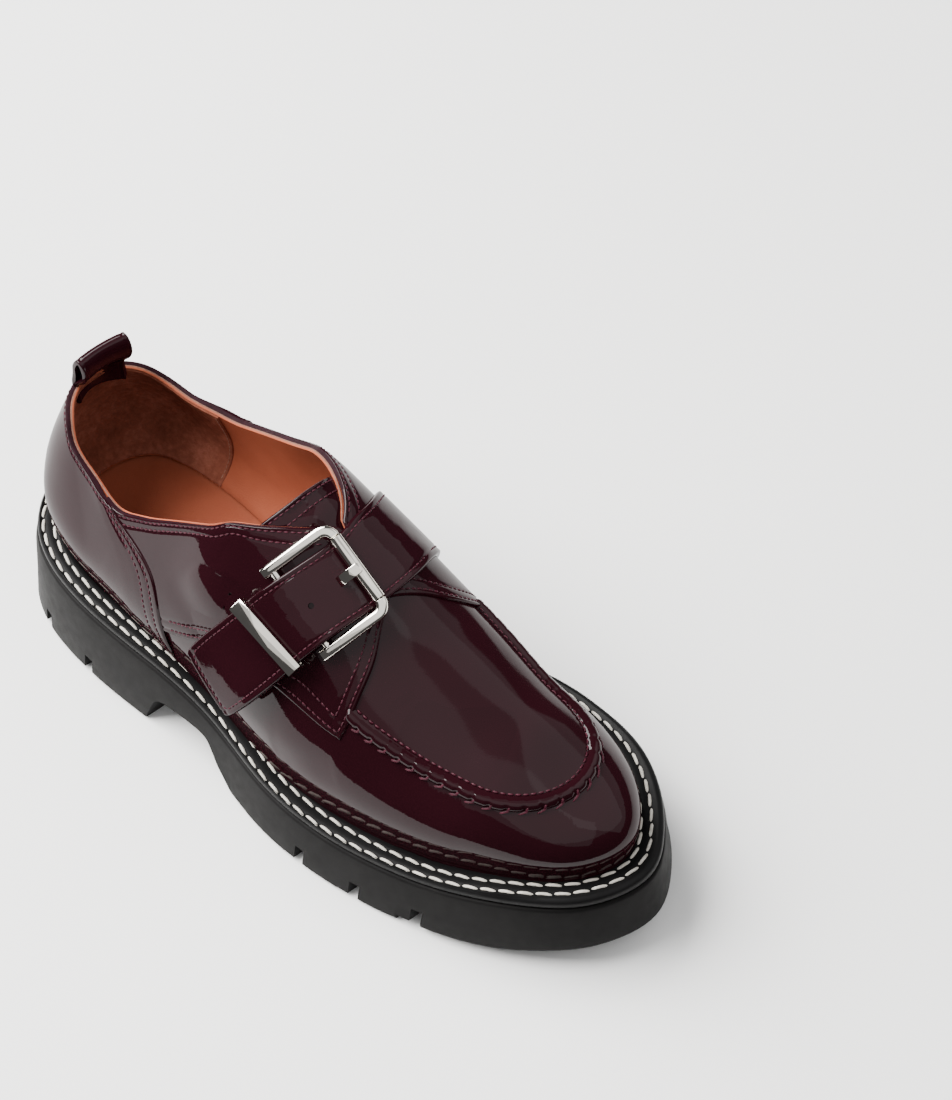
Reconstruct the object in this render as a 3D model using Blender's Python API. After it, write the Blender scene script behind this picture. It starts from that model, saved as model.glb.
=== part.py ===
"""A buckled patent leather shoe for the right foot, on a lugged rubber sole.

+X runs to the toe, +Y to the inner side of the foot and +Z up. The sole stands on z = 0 and the
origin is under the middle of the shoe. While it is built, a point is given as (along, across,
height): along from the back of the welt, across from the middle line, height from the floor.
"""

import collections
import math

import bmesh
import bpy
import numpy as np
from mathutils import Vector

MM = 0.001

# ---- Driving sizes, metres
LENGTH = 276.3 * MM  # along the welt, heel to toe
BALL_WIDTH = 100.7 * MM  # across the welt at the ball of the foot
INSTEP_HEIGHT = 111.0 * MM  # floor to the front of the throat
HEEL_HEIGHT = 36.5 * MM  # floor to the welt at the back of the heel
CENTRE = Vector((138.2 * MM, 1.0 * MM, 0.0))  # middle of the whole shoe, from the back of the welt

GAP = 0.3 * MM  # between neighbours that touch
SEAT_GAP = 0.4 * MM  # over the curved top of the sole
WALL = 2.2 * MM  # thickness of the upper
QUARTER_STEP = 1.0 * MM  # the quarters stand this far off the vamp
BACK_STEP = 1.6 * MM  # and the back panel this far
STEP_AT_FEATHER = 0.25 * MM  # what is left of a step at the welt
WELT_THICKNESS = 4.5 * MM
SOLE_FLARE = 3.8 * MM  # the sole's foot stands this far outside the welt
SOLE_EDGE = 1.2 * MM  # roundness of its bottom edge
INSOLE_THICKNESS = 7.5 * MM
TONGUE_THICKNESS = 2.0 * MM
STRAP_THICKNESS = 2.4 * MM
LUG_DEPTH = 8.0 * MM
LUG_GAP = 4.0 * MM
LEDGE_DEPTH = 1.5 * MM
LEDGE_WIDTH = 5.0 * MM
LUG_TURN = math.radians(-8.0)  # the gaps between lugs lie across the shoe, turned by this
ARCH_TURN = math.radians(-7.5)
APRON_RIDGE_RADIUS = 2.3 * MM

# The spine is the line that every upright section of the last runs down from.
HEEL_POINT = np.array([0.1375 * LENGTH, 0.01 * BALL_WIDTH])
TOE_POINT = np.array([0.796 * LENGTH, 0.05 * BALL_WIDTH])
TOE_FALL = -0.25  # slope of the toe's top

TOE_PACE = 1.03  # how fast the toe's sections pass as they leave the sides'
FAN = 7  # sections in each quarter turn round the heel
SIDES = 18  # sections along each side
TOE_FAN = 8  # sections in each quarter turn round the toe
WIDE = 90 * MM  # half the reach of a cutter that goes right across


def table(units, *rows):
    """Rows of percentages made lengths: one unit for each column."""
    return np.array(rows) / 100 * np.array(units)


# Outline of the welt: along % of length, outer side and inner side % of ball width.
WELT_OUTLINE = table(
    (LENGTH, BALL_WIDTH, BALL_WIDTH),
    (0.0, 0.0, 0.0),
    (1.4, 16.7, 18.7),
    (5.4, 31.7, 33.4),
    (12.7, 40.5, 40.1),
    (22.1, 43.6, 40.9),
    (32.6, 43.5, 36.3),
    (42.3, 43.9, 34.0),
    (52.8, 49.6, 38.4),
    (63.0, 50.6, 47.9),
    (72.0, 47.4, 52.6),
    (80.3, 41.8, 51.2),
    (87.6, 34.1, 44.9),
    (93.7, 23.8, 33.8),
    (97.7, 12.2, 21.6),
    (100.0, -7.7, 7.7),
)

# Top of the outsole, and its underside: along % of length, height % of heel height.
SOLE_TOP = table(
    (LENGTH, HEEL_HEIGHT),
    (0.0, 100.0),
    (14.1, 90.1),
    (30.0, 85.5),
    (46.0, 64.1),
    (62.3, 57.5),
    (76.4, 63.8),
    (88.7, 79.5),
    (101.0, 87.7),
)
SOLE_UNDERSIDE = table(
    (LENGTH, HEEL_HEIGHT),
    (0.0, 12.3),
    (1.1, 4.9),
    (2.9, 0.0),
    (72.0, 0.0),
    (79.6, 5.5),
    (88.7, 14.2),
    (95.2, 24.7),
    (99.9, 29.6),
)

# Upright sections of the last. "inset" is from the edge of the welt to the feather, where the upper
# meets it; "bulge" is how far the belly stands outside the feather, and "belly" how high above it;
# "shoulder" is where the side turns over on to the top.
SECTION_COLUMNS = (
    "inset_outer inset_inner bulge_outer bulge_inner belly_outer belly_inner "
    "shoulder_outer shoulder_inner shoulder_height_outer shoulder_height_inner"
).split()
SECTIONS = table(
    (LENGTH,) + (BALL_WIDTH,) * 4 + (INSTEP_HEIGHT,) * 2 + (BALL_WIDTH,) * 2 + (INSTEP_HEIGHT,) * 2,
    (2.9, 7.9, 7.9, 4.0, 4.0, 17.1, 17.1, 23.8, 23.8, 87.8, 87.8),
    (13.8, 8.9, 7.9, 3.5, 3.0, 16.2, 16.2, 25.3, 23.3, 77.5, 77.5),
    (21.0, 8.9, 7.9, 3.0, 2.5, 16.2, 16.2, 29.8, 27.8, 73.9, 73.9),
    (26.1, 7.9, 7.0, 2.5, 2.5, 16.2, 16.2, 29.3, 27.3, 78.4, 78.4),
    (32.6, 7.0, 6.0, 2.0, 3.0, 18.0, 18.0, 26.8, 24.3, 88.3, 88.3),
    (39.1, 6.0, 5.0, 2.0, 3.5, 19.8, 19.8, 24.3, 21.4, 98.2, 98.2),
    (44.9, 6.0, 5.0, 2.0, 3.0, 19.8, 19.8, 25.8, 21.4, 91.0, 93.7),
    (50.7, 7.0, 6.0, 2.0, 2.5, 18.9, 17.1, 29.3, 23.8, 81.1, 84.7),
    (56.5, 7.9, 7.9, 2.5, 1.5, 18.0, 13.5, 32.8, 26.3, 71.6, 74.8),
    (63.0, 8.9, 9.9, 2.5, 0.5, 17.1, 10.8, 35.3, 27.3, 63.1, 65.8),
    (68.8, 9.3, 10.9, 2.5, 0.0, 16.2, 9.0, 33.8, 26.3, 59.5, 61.3),
    (74.6, 9.5, 11.9, 2.5, 0.0, 15.3, 9.0, 31.8, 23.8, 57.7, 57.7),
    (79.6, 9.9, 11.9, 2.5, 0.0, 14.4, 9.0, 28.8, 22.3, 56.8, 55.9),
    (86.9, 9.9, 11.4, 2.5, 0.5, 12.6, 9.0, 26.8, 23.3, 56.3, 55.4),
    (95.5, 10.2, 10.2, 2.0, 2.0, 10.8, 10.8, 25.8, 25.8, 55.9, 55.9),
)

# Lines seen from the side: along % of length, height % of instep height. The ridge is the height of
# the last on its spine, up to the middle of the toe.
SIDE_VIEW = (LENGTH, INSTEP_HEIGHT)
RIDGE = table(
    SIDE_VIEW,
    (2.9, 117.1),
    (13.8, 117.1),
    (21.0, 117.1),
    (26.1, 117.1),
    (32.6, 116.2),
    (39.1, 113.5),
    (44.9, 107.2),
    (50.7, 99.1),
    (56.5, 91.0),
    (63.0, 81.5),
    (68.8, 74.8),
    (74.6, 69.8),
    (79.6, 66.7),
)
TOPLINE = table(
    SIDE_VIEW,
    (5.1, 87.8),
    (8.0, 85.6),
    (10.9, 80.6),
    (16.3, 76.1),
    (21.0, 73.9),
    (25.3, 77.9),
    (30.8, 85.6),
    (36.2, 93.7),
    (39.8, 99.4),
    (43.1, 100.9),
    (46.0, 101.6),
    (48.1, 101.4),
    (50.3, 100.0),
)
BACK_PANEL_FRONT = table(
    SIDE_VIEW,
    (20.6, 75.5),
    (24.2, 70.7),
    (27.5, 68.5),
    (30.0, 64.9),
    (31.5, 58.6),
    (32.6, 46.8),
    (34.4, 30.0),
)
QUARTER_EDGE = table(
    SIDE_VIEW,
    (31.0, 44.5),
    (32.9, 45.9),
    (38.4, 53.2),
    (45.2, 62.2),
    (52.1, 61.7),
    (57.2, 59.5),
    (63.3, 55.4),
    (63.4, 64.9),
    (62.6, 73.9),
    (61.3, 81.1),
    (59.0, 86.9),
    (57.9, 91.0),
)
APRON_BACK = 0.60 * LENGTH  # where the apron's ridge goes under the quarters

# The arch between the heel and the forefoot, on the middle line: along % of length, height % of
# heel height.
ARCH = table(
    (LENGTH, HEEL_HEIGHT),
    (31.8, 0.0),
    (34.4, 43.8),
    (43.4, 43.8),
    (46.0, 19.0),
    (49.6, 4.1),
    (53.2, 4.1),
    (53.2, 0.0),
)

# Gaps between the lugs: along % of length on the middle line, inner end % of ball width, and the
# side it opens to (1 for the inner side of the foot, -1 for the outer).
LUG_GAPS = (
    (14.3, -17.9, 1),
    (24.5, -21.8, 1),
    (57.4, -23.8, 1),
    (66.2, -22.3, 1),
    (75.0, -20.9, 1),
    (84.1, -12.9, 1),
    (11.9, 24.3, -1),
    (21.6, 20.9, -1),
    (63.7, 22.3, -1),
    (72.4, 26.8, -1),
    (81.0, 26.5, -1),
)

# The strap from its tip to its sewn end. Along is % of length and girth the share of the way round
# from the spine to the feather, negative on the outer side; lift is its height off the last, mm.
STRAP_COLUMNS = "upper_along upper_girth lower_along lower_girth lift".split()
STRAP = np.array(
    (
        (38.0, -0.80, 46.2, -0.90, 1.6),
        (41.3, -0.63, 50.7, -0.69, 1.8),
        (43.9, -0.50, 53.5, -0.53, 3.2),
        (45.3, -0.42, 54.7, -0.44, 3.9),
        (46.8, -0.33, 55.7, -0.36, 5.9),
        (47.8, -0.27, 56.6, -0.29, 5.9),
        (49.2, -0.18, 57.7, -0.20, 4.2),
        (50.2, -0.10, 58.5, -0.13, 2.9),
        (50.6, -0.03, 59.0, -0.06, 1.5),
        (50.1, 0.04, 59.2, 0.02, 1.5),
        (49.5, 0.122, 58.9, 0.107, 1.6),
        (47.0, 0.299, 57.6, 0.25, 1.6),
        (42.3, 0.573, 54.8, 0.50, 1.6),
    )
)

# The buckle lies in a plane of its own: its origin is the middle of the closed side, "down" runs
# from there to the arms' ends and "across" from the upper arm to the lower one.
BUCKLE_MIDDLE = np.array([151.2, 1.1, 103.7]) * MM
BUCKLE_ENDS = np.array([142.0, -24.5, 91.25]) * MM
BUCKLE_ACROSS = np.array([33.2, -3.0, -18.5])
BUCKLE_WIDTH = 38.0 * MM
BUCKLE_LENGTH = 30.0 * MM
BUCKLE_CORNER = 6.0 * MM
BAR_WIDTH = 4.0 * MM
BAR_THICKNESS = 3.0 * MM
BUCKLE_LIFT = (8.4 * MM, 4.3 * MM)  # off the last at the closed side and at the arms' ends
BUCKLE_ARCH = 1.0 * MM
HINGE_DOWN = 26.5 * MM  # the hinge bar, under the strap
HINGE_RADIUS = 1.3 * MM
ROLLER_RADIUS = 2.3 * MM
ROLLER_BORE = 1.5 * MM
ROLLER_LENGTH = 25.2 * MM
ROLLER_AXLE = 1.0 * MM
PRONG_ACROSS = 0.4 * MM  # the prong and the holes lie off the buckle's middle
PRONG_WIDTH = 3.8 * MM
PRONG_THICKNESS = 1.2 * MM
PRONG_HOLE_DOWN = 9.8 * MM
SPARE_HOLE_DOWN = 22.7 * MM

KEEPER_GIRTH = -0.435
KEEPER_ALONG = (44.45, 55.15)  # % of length, upper and lower end
KEEPER_WIDTH = 5.5 * MM
KEEPER_THICKNESS = 1.4 * MM
KEEPER_ROD = 1.5 * MM

LOOP_WIDTH = 20.0 * MM
LOOP_THICKNESS = 1.6 * MM
LOOP_MIDDLE = 3.0 * MM
# The folded loop from its back foot over the top to its front foot: along, height and how far its
# sides bow forward with the wall, mm.
LOOP_PATH = (
    (14.3, 88.0, 4.4),
    (17.9, 97.5, 4.4),
    (19.2, 104.0, 2.2),
    (20.6, 109.0, 1.2),
    (23.4, 110.3, 1.0),
    (25.2, 106.5, 1.2),
    (23.6, 98.5, 3.6),
    (19.3, 88.0, 4.0),
)

Rib = collections.namedtuple("Rib", "start way along side reach")


class Curve:
    """Cubic pieces through values at rising stations, with the slope given at each."""

    def __init__(self, at, values, slopes):
        self.at = np.asarray(at, float)
        self.values = np.asarray(values, float)
        self.slopes = np.asarray(slopes, float)

    def pieces(self, at):
        at = np.clip(np.atleast_1d(at), self.at[0], self.at[-1])
        i = np.clip(np.searchsorted(self.at, at, side="right") - 1, 0, len(self.at) - 2)
        step = (self.at[i + 1] - self.at[i])[:, None]
        share = (at - self.at[i])[:, None] / step
        return i, step, share

    def __call__(self, at):
        i, step, t = self.pieces(at)
        start = (1 + 2 * t) * (1 - t) ** 2 * self.values[i] + t * (1 - t) ** 2 * step * self.slopes[i]
        end = t**2 * (3 - 2 * t) * self.values[i + 1] + t**2 * (t - 1) * step * self.slopes[i + 1]
        return start + end

    def slope(self, at):
        i, step, t = self.pieces(at)
        rise = 6 * t * (1 - t) * (self.values[i + 1] - self.values[i]) / step
        ends = (1 - t) * (1 - 3 * t) * self.slopes[i] + t * (3 * t - 2) * self.slopes[i + 1]
        return rise + ends


def steady_curve(at, values):
    """A curve that never swings past its values."""
    at = np.asarray(at, float)
    values = np.asarray(values, float).reshape(len(at), -1)
    step = np.diff(at)[:, None]
    rise = np.diff(values, axis=0) / step
    slopes = np.zeros_like(values)
    slopes[0] = rise[0]
    slopes[-1] = rise[-1]
    before = 2 * step[1:] + step[:-1]
    after = step[1:] + 2 * step[:-1]
    same_way = rise[:-1] * rise[1:] > 0
    low = np.where(same_way, rise[:-1], 1.0)
    high = np.where(same_way, rise[1:], 1.0)
    slopes[1:-1] = np.where(same_way, (before + after) / (before / low + after / high), 0.0)
    return Curve(at, values, slopes)


def flowing_curve(at, values, ends=None):
    """The smoothest curve through its values: with given end slopes, or closed when it has none."""
    at = np.asarray(at, float)
    values = np.asarray(values, float)
    count = len(at)
    step = np.diff(at)
    system = np.zeros((count, count))
    right = np.zeros(values.shape)
    for i in range(count):
        if ends is not None and i in (0, count - 1):
            system[i, i] = 1
            right[i] = ends[0] if i == 0 else ends[1]
            continue
        if i == count - 1:
            system[i, 0] = 1
            system[i, i] = -1
            continue
        before = step[i - 1]
        after = step[i]
        last = values[i - 1] if i else values[count - 2]
        system[i, i - 1 if i else count - 2] += 1 / before
        system[i, i] += 2 / before + 2 / after
        system[i, i + 1] += 1 / after
        right[i] = 3 * ((values[i] - last) / before**2 + (values[i + 1] - values[i]) / after**2)
    return Curve(at, values, np.linalg.solve(system, right))


def welt_outline(count=720):
    """Points round the edge of the welt."""
    outer = [(along, -across) for along, across, _ in WELT_OUTLINE]
    inner = [(along, across) for along, _, across in WELT_OUTLINE[1:-1]][::-1]
    points = np.array(outer + inner + outer[:1])
    chords = np.sqrt(np.linalg.norm(np.diff(points, axis=0), axis=1))
    at = np.concatenate(([0], np.cumsum(chords)))
    curve = flowing_curve(at, points)
    return curve(np.linspace(0, at[-1], count, endpoint=False))


OUTLINE = welt_outline()
sole_top_curve = steady_curve(SOLE_TOP[:, 0], SOLE_TOP[:, 1])
underside_curve = steady_curve(SOLE_UNDERSIDE[:, 0], SOLE_UNDERSIDE[:, 1])
section_curve = steady_curve(SECTIONS[:, 0], SECTIONS[:, 1:])
ridge_curve = steady_curve(RIDGE[:, 0], RIDGE[:, 1])


def sole_top(along):
    return float(sole_top_curve(along)[0, 0])


def underside(along):
    return float(underside_curve(along)[0, 0])


def reach(start, way):
    """How far the edge of the welt lies from a point on the spine."""
    near = OUTLINE - start
    far = np.roll(OUTLINE, -1, axis=0) - start
    cross_near = way[0] * near[:, 1] - way[1] * near[:, 0]
    cross_far = way[0] * far[:, 1] - way[1] * far[:, 0]
    crossed = np.flatnonzero((cross_near * cross_far <= 0) & (cross_near != cross_far))
    share = (cross_near[crossed] / (cross_near[crossed] - cross_far[crossed]))[:, None]
    return float(((near[crossed] + share * (far[crossed] - near[crossed])) @ way).max())


def make_rib(start, degrees, along, side):
    turn = math.radians(degrees)
    way = np.array([math.cos(turn), math.sin(turn)])
    return Rib(start, way, along, side, reach(start, way))


def side_rib(along, side):
    """An upright section square across the shoe."""
    share = (along - HEEL_POINT[0]) / (TOE_POINT[0] - HEEL_POINT[0])
    start = HEEL_POINT + share * (TOE_POINT - HEEL_POINT)
    return make_rib(start, 90 * side, along, side)


def all_ribs():
    """Sections right round the shoe: the outer side from heel to toe, then the inner side back."""
    heel_along = SECTIONS[0, 0]
    toe_along = SECTIONS[-1, 0]
    outer = []
    inner = []
    for i in range(FAN):
        turn = 90 * i / FAN
        along = heel_along + (HEEL_POINT[0] - heel_along) * (1 - math.cos(math.radians(turn)))
        outer.append(make_rib(HEEL_POINT, 180 + turn, along, -1))
        if i:
            inner.append(make_rib(HEEL_POINT, 180 - turn, along, 1))
    for along in np.linspace(HEEL_POINT[0], TOE_POINT[0], SIDES, endpoint=False):
        outer.append(side_rib(along, -1))
        inner.append(side_rib(along, 1))
    for i in range(TOE_FAN + 1):
        turn = 90 * i / TOE_FAN
        share = i / TOE_FAN
        # starts as fast as the sides' stations pass, and comes to rest at the tip
        share = TOE_PACE * share + (3 - 2 * TOE_PACE) * share**2 + (TOE_PACE - 2) * share**3
        along = TOE_POINT[0] + (toe_along - TOE_POINT[0]) * share
        outer.append(make_rib(TOE_POINT, 270 + turn, along, -1))
        if i < TOE_FAN:
            inner.append(make_rib(TOE_POINT, 90 - turn, along, 1))
    return outer + inner[::-1]


RIBS = all_ribs()


def section(rib, name):
    """A size of the last at this rib, on its own side of the foot."""
    name += "_outer" if rib.side < 0 else "_inner"
    return float(section_curve(rib.along)[0, SECTION_COLUMNS.index(name)])


def feather(rib):
    """How far out from the spine the upper meets the welt."""
    return rib.reach - section(rib, "inset")


def profile(rib, shares):
    """(out, up) points of the last and their outward normals.

    Shares run from 0 at the feather over 1 at the shoulder to 2 on the spine.
    """
    foot = feather(rib)
    floor = sole_top((rib.start + rib.way * foot)[0]) + WELT_THICKNESS
    corners = np.array(
        (
            (foot, floor),
            (foot + section(rib, "bulge"), floor + section(rib, "belly")),
            (section(rib, "shoulder"), section(rib, "shoulder_height")),
            (0.0, float(ridge_curve(rib.start[0])[0, 0])),
        )
    )
    at = np.concatenate(([0], np.cumsum(np.linalg.norm(np.diff(corners, axis=0), axis=1))))
    fall = TOE_FALL * rib.way[0] if rib.start[0] >= TOE_POINT[0] else 0.0
    start = np.array((0.33, 0.94))
    end = np.array((-0.9, -0.9 * fall))
    curve = flowing_curve(at, corners, (start, end))
    where = np.interp(shares, (0, 1, 2), (0, at[2], at[3]))
    points = curve(where)
    run = curve.slope(where)
    normals = np.stack((run[:, 1], -run[:, 0]), axis=1)
    normals /= np.linalg.norm(normals, axis=1)[:, None]
    normals[np.asarray(shares) >= 2] = (0.0, 1.0)
    return points, normals


def in_shoe(rib, out, up):
    """The point at this distance out from the spine along a rib."""
    plan = rib.start + rib.way * out
    return np.array((plan[0], plan[1], up))


ROWS = tuple(np.linspace(0, 1, 9)) + tuple(np.linspace(1, 2, 7))[1:]


def offset_rows(rib, offset, rows=ROWS, fades=False):
    """Points up a rib at a distance outside the last; a step that fades ends thin at the feather."""
    points, normals = profile(rib, rows)
    for point, normal, row in zip(points, normals, rows):
        distance = offset
        if fades:
            distance = STEP_AT_FEATHER + (offset - STEP_AT_FEATHER) * min(1.0, row / 0.35)
        yield point + normal * distance


def on_last(along, girth):
    """A point of the last, at a share of the girth from the spine."""
    rib = side_rib(along, -1 if girth < 0 else 1)
    points, _ = profile(rib, np.linspace(0, 2, 81))
    lengths = np.concatenate(([0], np.cumsum(np.linalg.norm(np.diff(points, axis=0), axis=1))))
    round_from_feather = (1 - abs(girth)) * lengths[-1]
    out = np.interp(round_from_feather, lengths, points[:, 0])
    up = np.interp(round_from_feather, lengths, points[:, 1])
    return in_shoe(rib, out, up)


def on_upper(along, girth, lift):
    """A point over the last, lifted square off its surface."""
    step = 1 * MM
    share = 0.02
    forward = on_last(along + step, girth) - on_last(along - step, girth)
    round_way = on_last(along, girth + share) - on_last(along, girth - share)
    normal = np.cross(forward, round_way)
    return on_last(along, girth) + normal / np.linalg.norm(normal) * lift


# ---- Scene and mesh helpers


def clear_scene():
    for obj in list(bpy.data.objects):
        bpy.data.objects.remove(obj, do_unlink=True)


def new_collection(name, hidden=False):
    collection = bpy.data.collections.new(name)
    bpy.context.scene.collection.children.link(collection)
    collection.hide_render = hidden
    return collection


def new_material(name, colour, roughness, metallic=0.0):
    material = bpy.data.materials.new(name)
    material.use_nodes = True
    shader = material.node_tree.nodes["Principled BSDF"]
    shader.inputs["Base Color"].default_value = (*colour, 1.0)
    shader.inputs["Roughness"].default_value = roughness
    shader.inputs["Metallic"].default_value = metallic
    return material


def loft(rings, closed=False):
    """A mesh over rings of points: capped at both ends, or closed into a loop of rings."""
    mesh = bmesh.new()
    known = {}

    def vertex(point):
        key = tuple(round(float(c) * 1e7) for c in point)
        if key not in known:
            known[key] = mesh.verts.new(Vector(point) - CENTRE)
        return known[key]

    def face(corners):
        unique = list(dict.fromkeys(corners))
        if len(unique) > 2 and mesh.faces.get(unique) is None:
            mesh.faces.new(unique)

    grid = [[vertex(point) for point in ring] for ring in rings]
    pairs = list(zip(grid, grid[1:]))
    if closed:
        pairs.append((grid[-1], grid[0]))
    for near, far in pairs:
        for i in range(len(near)):
            j = (i + 1) % len(near)
            face((near[i], near[j], far[j], far[i]))
    if not closed:
        for ring in (grid[0], grid[-1]):
            if len(set(ring)) == len(ring):
                face(ring)
    bmesh.ops.recalc_face_normals(mesh, faces=mesh.faces)
    return mesh


def new_object(name, collection, mesh, material=None):
    data = bpy.data.meshes.new(name)
    mesh.to_mesh(data)
    mesh.free()
    obj = bpy.data.objects.new(name, data)
    collection.objects.link(obj)
    if material is None:
        obj.hide_render = True
        obj.display_type = "WIRE"
    else:
        data.materials.append(material)
        data.shade_smooth()
        data.set_sharp_from_angle(angle=math.radians(35))
    return obj


def combine(obj, operation, other):
    """Adds a Boolean with another object."""
    modifier = obj.modifiers.new(f"{operation.lower()}_{other.name}", "BOOLEAN")
    modifier.operation = operation
    modifier.object = other
    modifier.solver = "EXACT"


def side_prism(outline):
    """A prism that goes right across the shoe, over an outline seen from the side."""
    return loft([[(along, across, height) for along, height in outline] for across in (-WIDE, WIDE)])


def turned(points, turn, pivot_along):
    """Points turned about an upright line on the middle of the shoe."""
    cos = math.cos(turn)
    sin = math.sin(turn)
    for along, across, height in points:
        near = along - pivot_along
        yield (pivot_along + cos * near - sin * across, sin * near + cos * across, height)


# ---- Sole, welt and insole


def rings_at(distances_and_heights):
    """One ring right round the shoe for each (distance out, height) pair of functions."""
    rings = []
    for distance, height in distances_and_heights:
        ring = []
        for rib in RIBS:
            out = distance(rib)
            along = (rib.start + rib.way * out)[0]
            ring.append(in_shoe(rib, out, height(along)))
        rings.append(ring)
    return rings


def share_of_reach(share):
    return lambda rib: share * rib.reach


def past_reach(extra):
    return lambda rib: rib.reach + extra


def outsole_mesh():
    inside = (0.0, 0.4, 0.7, 0.88)
    pairs = [(share_of_reach(share), underside) for share in inside]
    pairs += [
        (past_reach(SOLE_FLARE - SOLE_EDGE), underside),
        (past_reach(SOLE_FLARE), lambda along: underside(along) + SOLE_EDGE),
        (past_reach(1.6 * MM), lambda along: sole_top(along) - 5 * MM),
        (past_reach(-0.2 * MM), lambda along: sole_top(along) - 1 * MM),
        (past_reach(-0.9 * MM), sole_top),
    ]
    pairs += [(share_of_reach(share), sole_top) for share in inside[::-1]]
    return loft(rings_at(pairs))


def lug_gap(along, inner_end, opens_to):
    """The gap between two lugs, with a shallow ledge beside it."""
    base = underside(along) - 2 * MM
    top = underside(along) + LUG_DEPTH
    ledge = underside(along) + LEDGE_DEPTH
    toward = opens_to  # the ledge lies to the toe on the inner side and to the heel on the outer
    near = along - toward * LUG_GAP / 2
    far = along + toward * LUG_GAP / 2
    step = far + toward * LEDGE_WIDTH
    outline = ((near, base), (near, top), (far, top), (far, ledge), (step, ledge), (step, base))
    ends = (inner_end, opens_to * WIDE)
    rings = [[(x, across, z) for x, z in outline] for across in ends]
    return [list(turned(ring, LUG_TURN, along)) for ring in rings]


def lug_gaps_mesh():
    whole = bmesh.new()
    for along, inner_end, opens_to in LUG_GAPS:
        rings = lug_gap(along / 100 * LENGTH, inner_end / 100 * BALL_WIDTH, opens_to)
        one = loft(rings)
        data = bpy.data.meshes.new("gap")
        one.to_mesh(data)
        one.free()
        whole.from_mesh(data)
        bpy.data.meshes.remove(data)
    return whole


def arch_mesh():
    outline = [(along, height if height > 0 else -5 * MM) for along, height in ARCH]
    rings = [[(along, across, height) for along, height in outline] for across in (-WIDE, WIDE)]
    return loft([list(turned(ring, ARCH_TURN, ARCH[0, 0])) for ring in rings])


def make_outsole(parts, cutters, rubber):
    outsole = new_object("outsole", parts, outsole_mesh(), rubber)
    combine(outsole, "DIFFERENCE", new_object("arch_cutter", cutters, arch_mesh()))
    combine(outsole, "DIFFERENCE", new_object("lug_cutter", cutters, lug_gaps_mesh()))


def make_welt(parts, rubber):
    def above(height):
        return lambda along: sole_top(along) + height

    pairs = (
        (lambda rib: feather(rib) + 2 * GAP, above(SEAT_GAP)),
        (past_reach(-0.9 * MM), above(SEAT_GAP)),
        (past_reach(-0.1 * MM), above(1.2 * MM)),
        (past_reach(0.0), above(2.4 * MM)),
        (past_reach(-0.1 * MM), above(3.5 * MM)),
        (past_reach(-1.0 * MM), above(WELT_THICKNESS)),
        (lambda rib: feather(rib) + 2 * GAP, above(WELT_THICKNESS)),
    )
    new_object("welt", parts, loft(rings_at(pairs), closed=True), rubber)


def make_insole(parts, lining):
    def edge(inward):
        return lambda rib: feather(rib) - WALL - GAP - inward

    def spread(share):
        return lambda rib: share * (feather(rib) - WALL - GAP)

    def bottom(along):
        return sole_top(along) + SEAT_GAP

    def top(along):
        return sole_top(along) + SEAT_GAP + INSOLE_THICKNESS

    pairs = (
        (spread(0.0), bottom),
        (spread(0.55), bottom),
        (edge(0.0), bottom),
        (edge(0.0), lambda along: top(along) - 1 * MM),
        (edge(1.0 * MM), top),
        (spread(0.55), top),
        (spread(0.0), top),
    )
    new_object("insole", parts, loft(rings_at(pairs)), lining)


# ---- Upper and tongue


def last_form(offset, drop, fades=False):
    """The closed form of the last at an offset, running down past the feather to below the welt."""
    columns = []
    for rib in RIBS:
        rows = list(offset_rows(rib, offset, fades=fades))
        foot = rows[0][0]
        along = (rib.start + rib.way * foot)[0]
        floor = sole_top(along) + SEAT_GAP - drop
        middle = sole_top(rib.start[0]) + SEAT_GAP - drop
        column = [in_shoe(rib, 0.0, middle), in_shoe(rib, foot, floor)]
        column += [in_shoe(rib, out, up) for out, up in rows]
        columns.append(column)
    return loft(list(map(list, zip(*columns))))


def back_panel_outline():
    front = [tuple(point) for point in BACK_PANEL_FRONT]
    behind = -30 * MM
    return [(behind, front[0][1]), *front, (behind, front[-1][1])]


def quarter_outline():
    edge = [tuple(point) for point in QUARTER_EDGE]
    behind = 0.2 * LENGTH
    top = 1.4 * INSTEP_HEIGHT
    return [(behind, edge[0][1]), *edge, (edge[-1][0], top), (behind, top)]


def collar_outline():
    rim = [tuple(point) for point in TOPLINE]
    top = 2 * INSTEP_HEIGHT
    behind = -30 * MM
    return [(behind, rim[0][1]), *rim, (rim[-1][0], top), (behind, top)]


def apron_ridge_mesh(cutters):
    """The rolled seam round the toe, as a tube along the last's shoulder."""
    path = []
    for rib in RIBS:
        if rib.along < APRON_BACK:
            continue
        points, normals = profile(rib, (1.0,))
        out, up = points[0] - normals[0] * 0.5 * MM
        path.append(Vector(in_shoe(rib, out, up)) - CENTRE)
    curve = bpy.data.curves.new("apron_ridge_path", "CURVE")
    curve.dimensions = "3D"
    curve.bevel_depth = APRON_RIDGE_RADIUS
    curve.bevel_resolution = 2
    curve.use_fill_caps = True
    spline = curve.splines.new("POLY")
    spline.points.add(len(path) - 1)
    for point, place in zip(spline.points, path):
        point.co = (*place, 1.0)
    tube = bpy.data.objects.new("apron_ridge_tube", curve)
    cutters.objects.link(tube)
    graph = bpy.context.evaluated_depsgraph_get()
    data = bpy.data.meshes.new_from_object(tube.evaluated_get(graph))
    mesh = bmesh.new()
    mesh.from_mesh(data)
    mesh.transform(tube.matrix_world)
    bmesh.ops.remove_doubles(mesh, verts=mesh.verts, dist=0.00001)
    bmesh.ops.recalc_face_normals(mesh, faces=mesh.faces)
    bpy.data.objects.remove(tube, do_unlink=True)
    bpy.data.meshes.remove(data)
    return mesh


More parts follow.
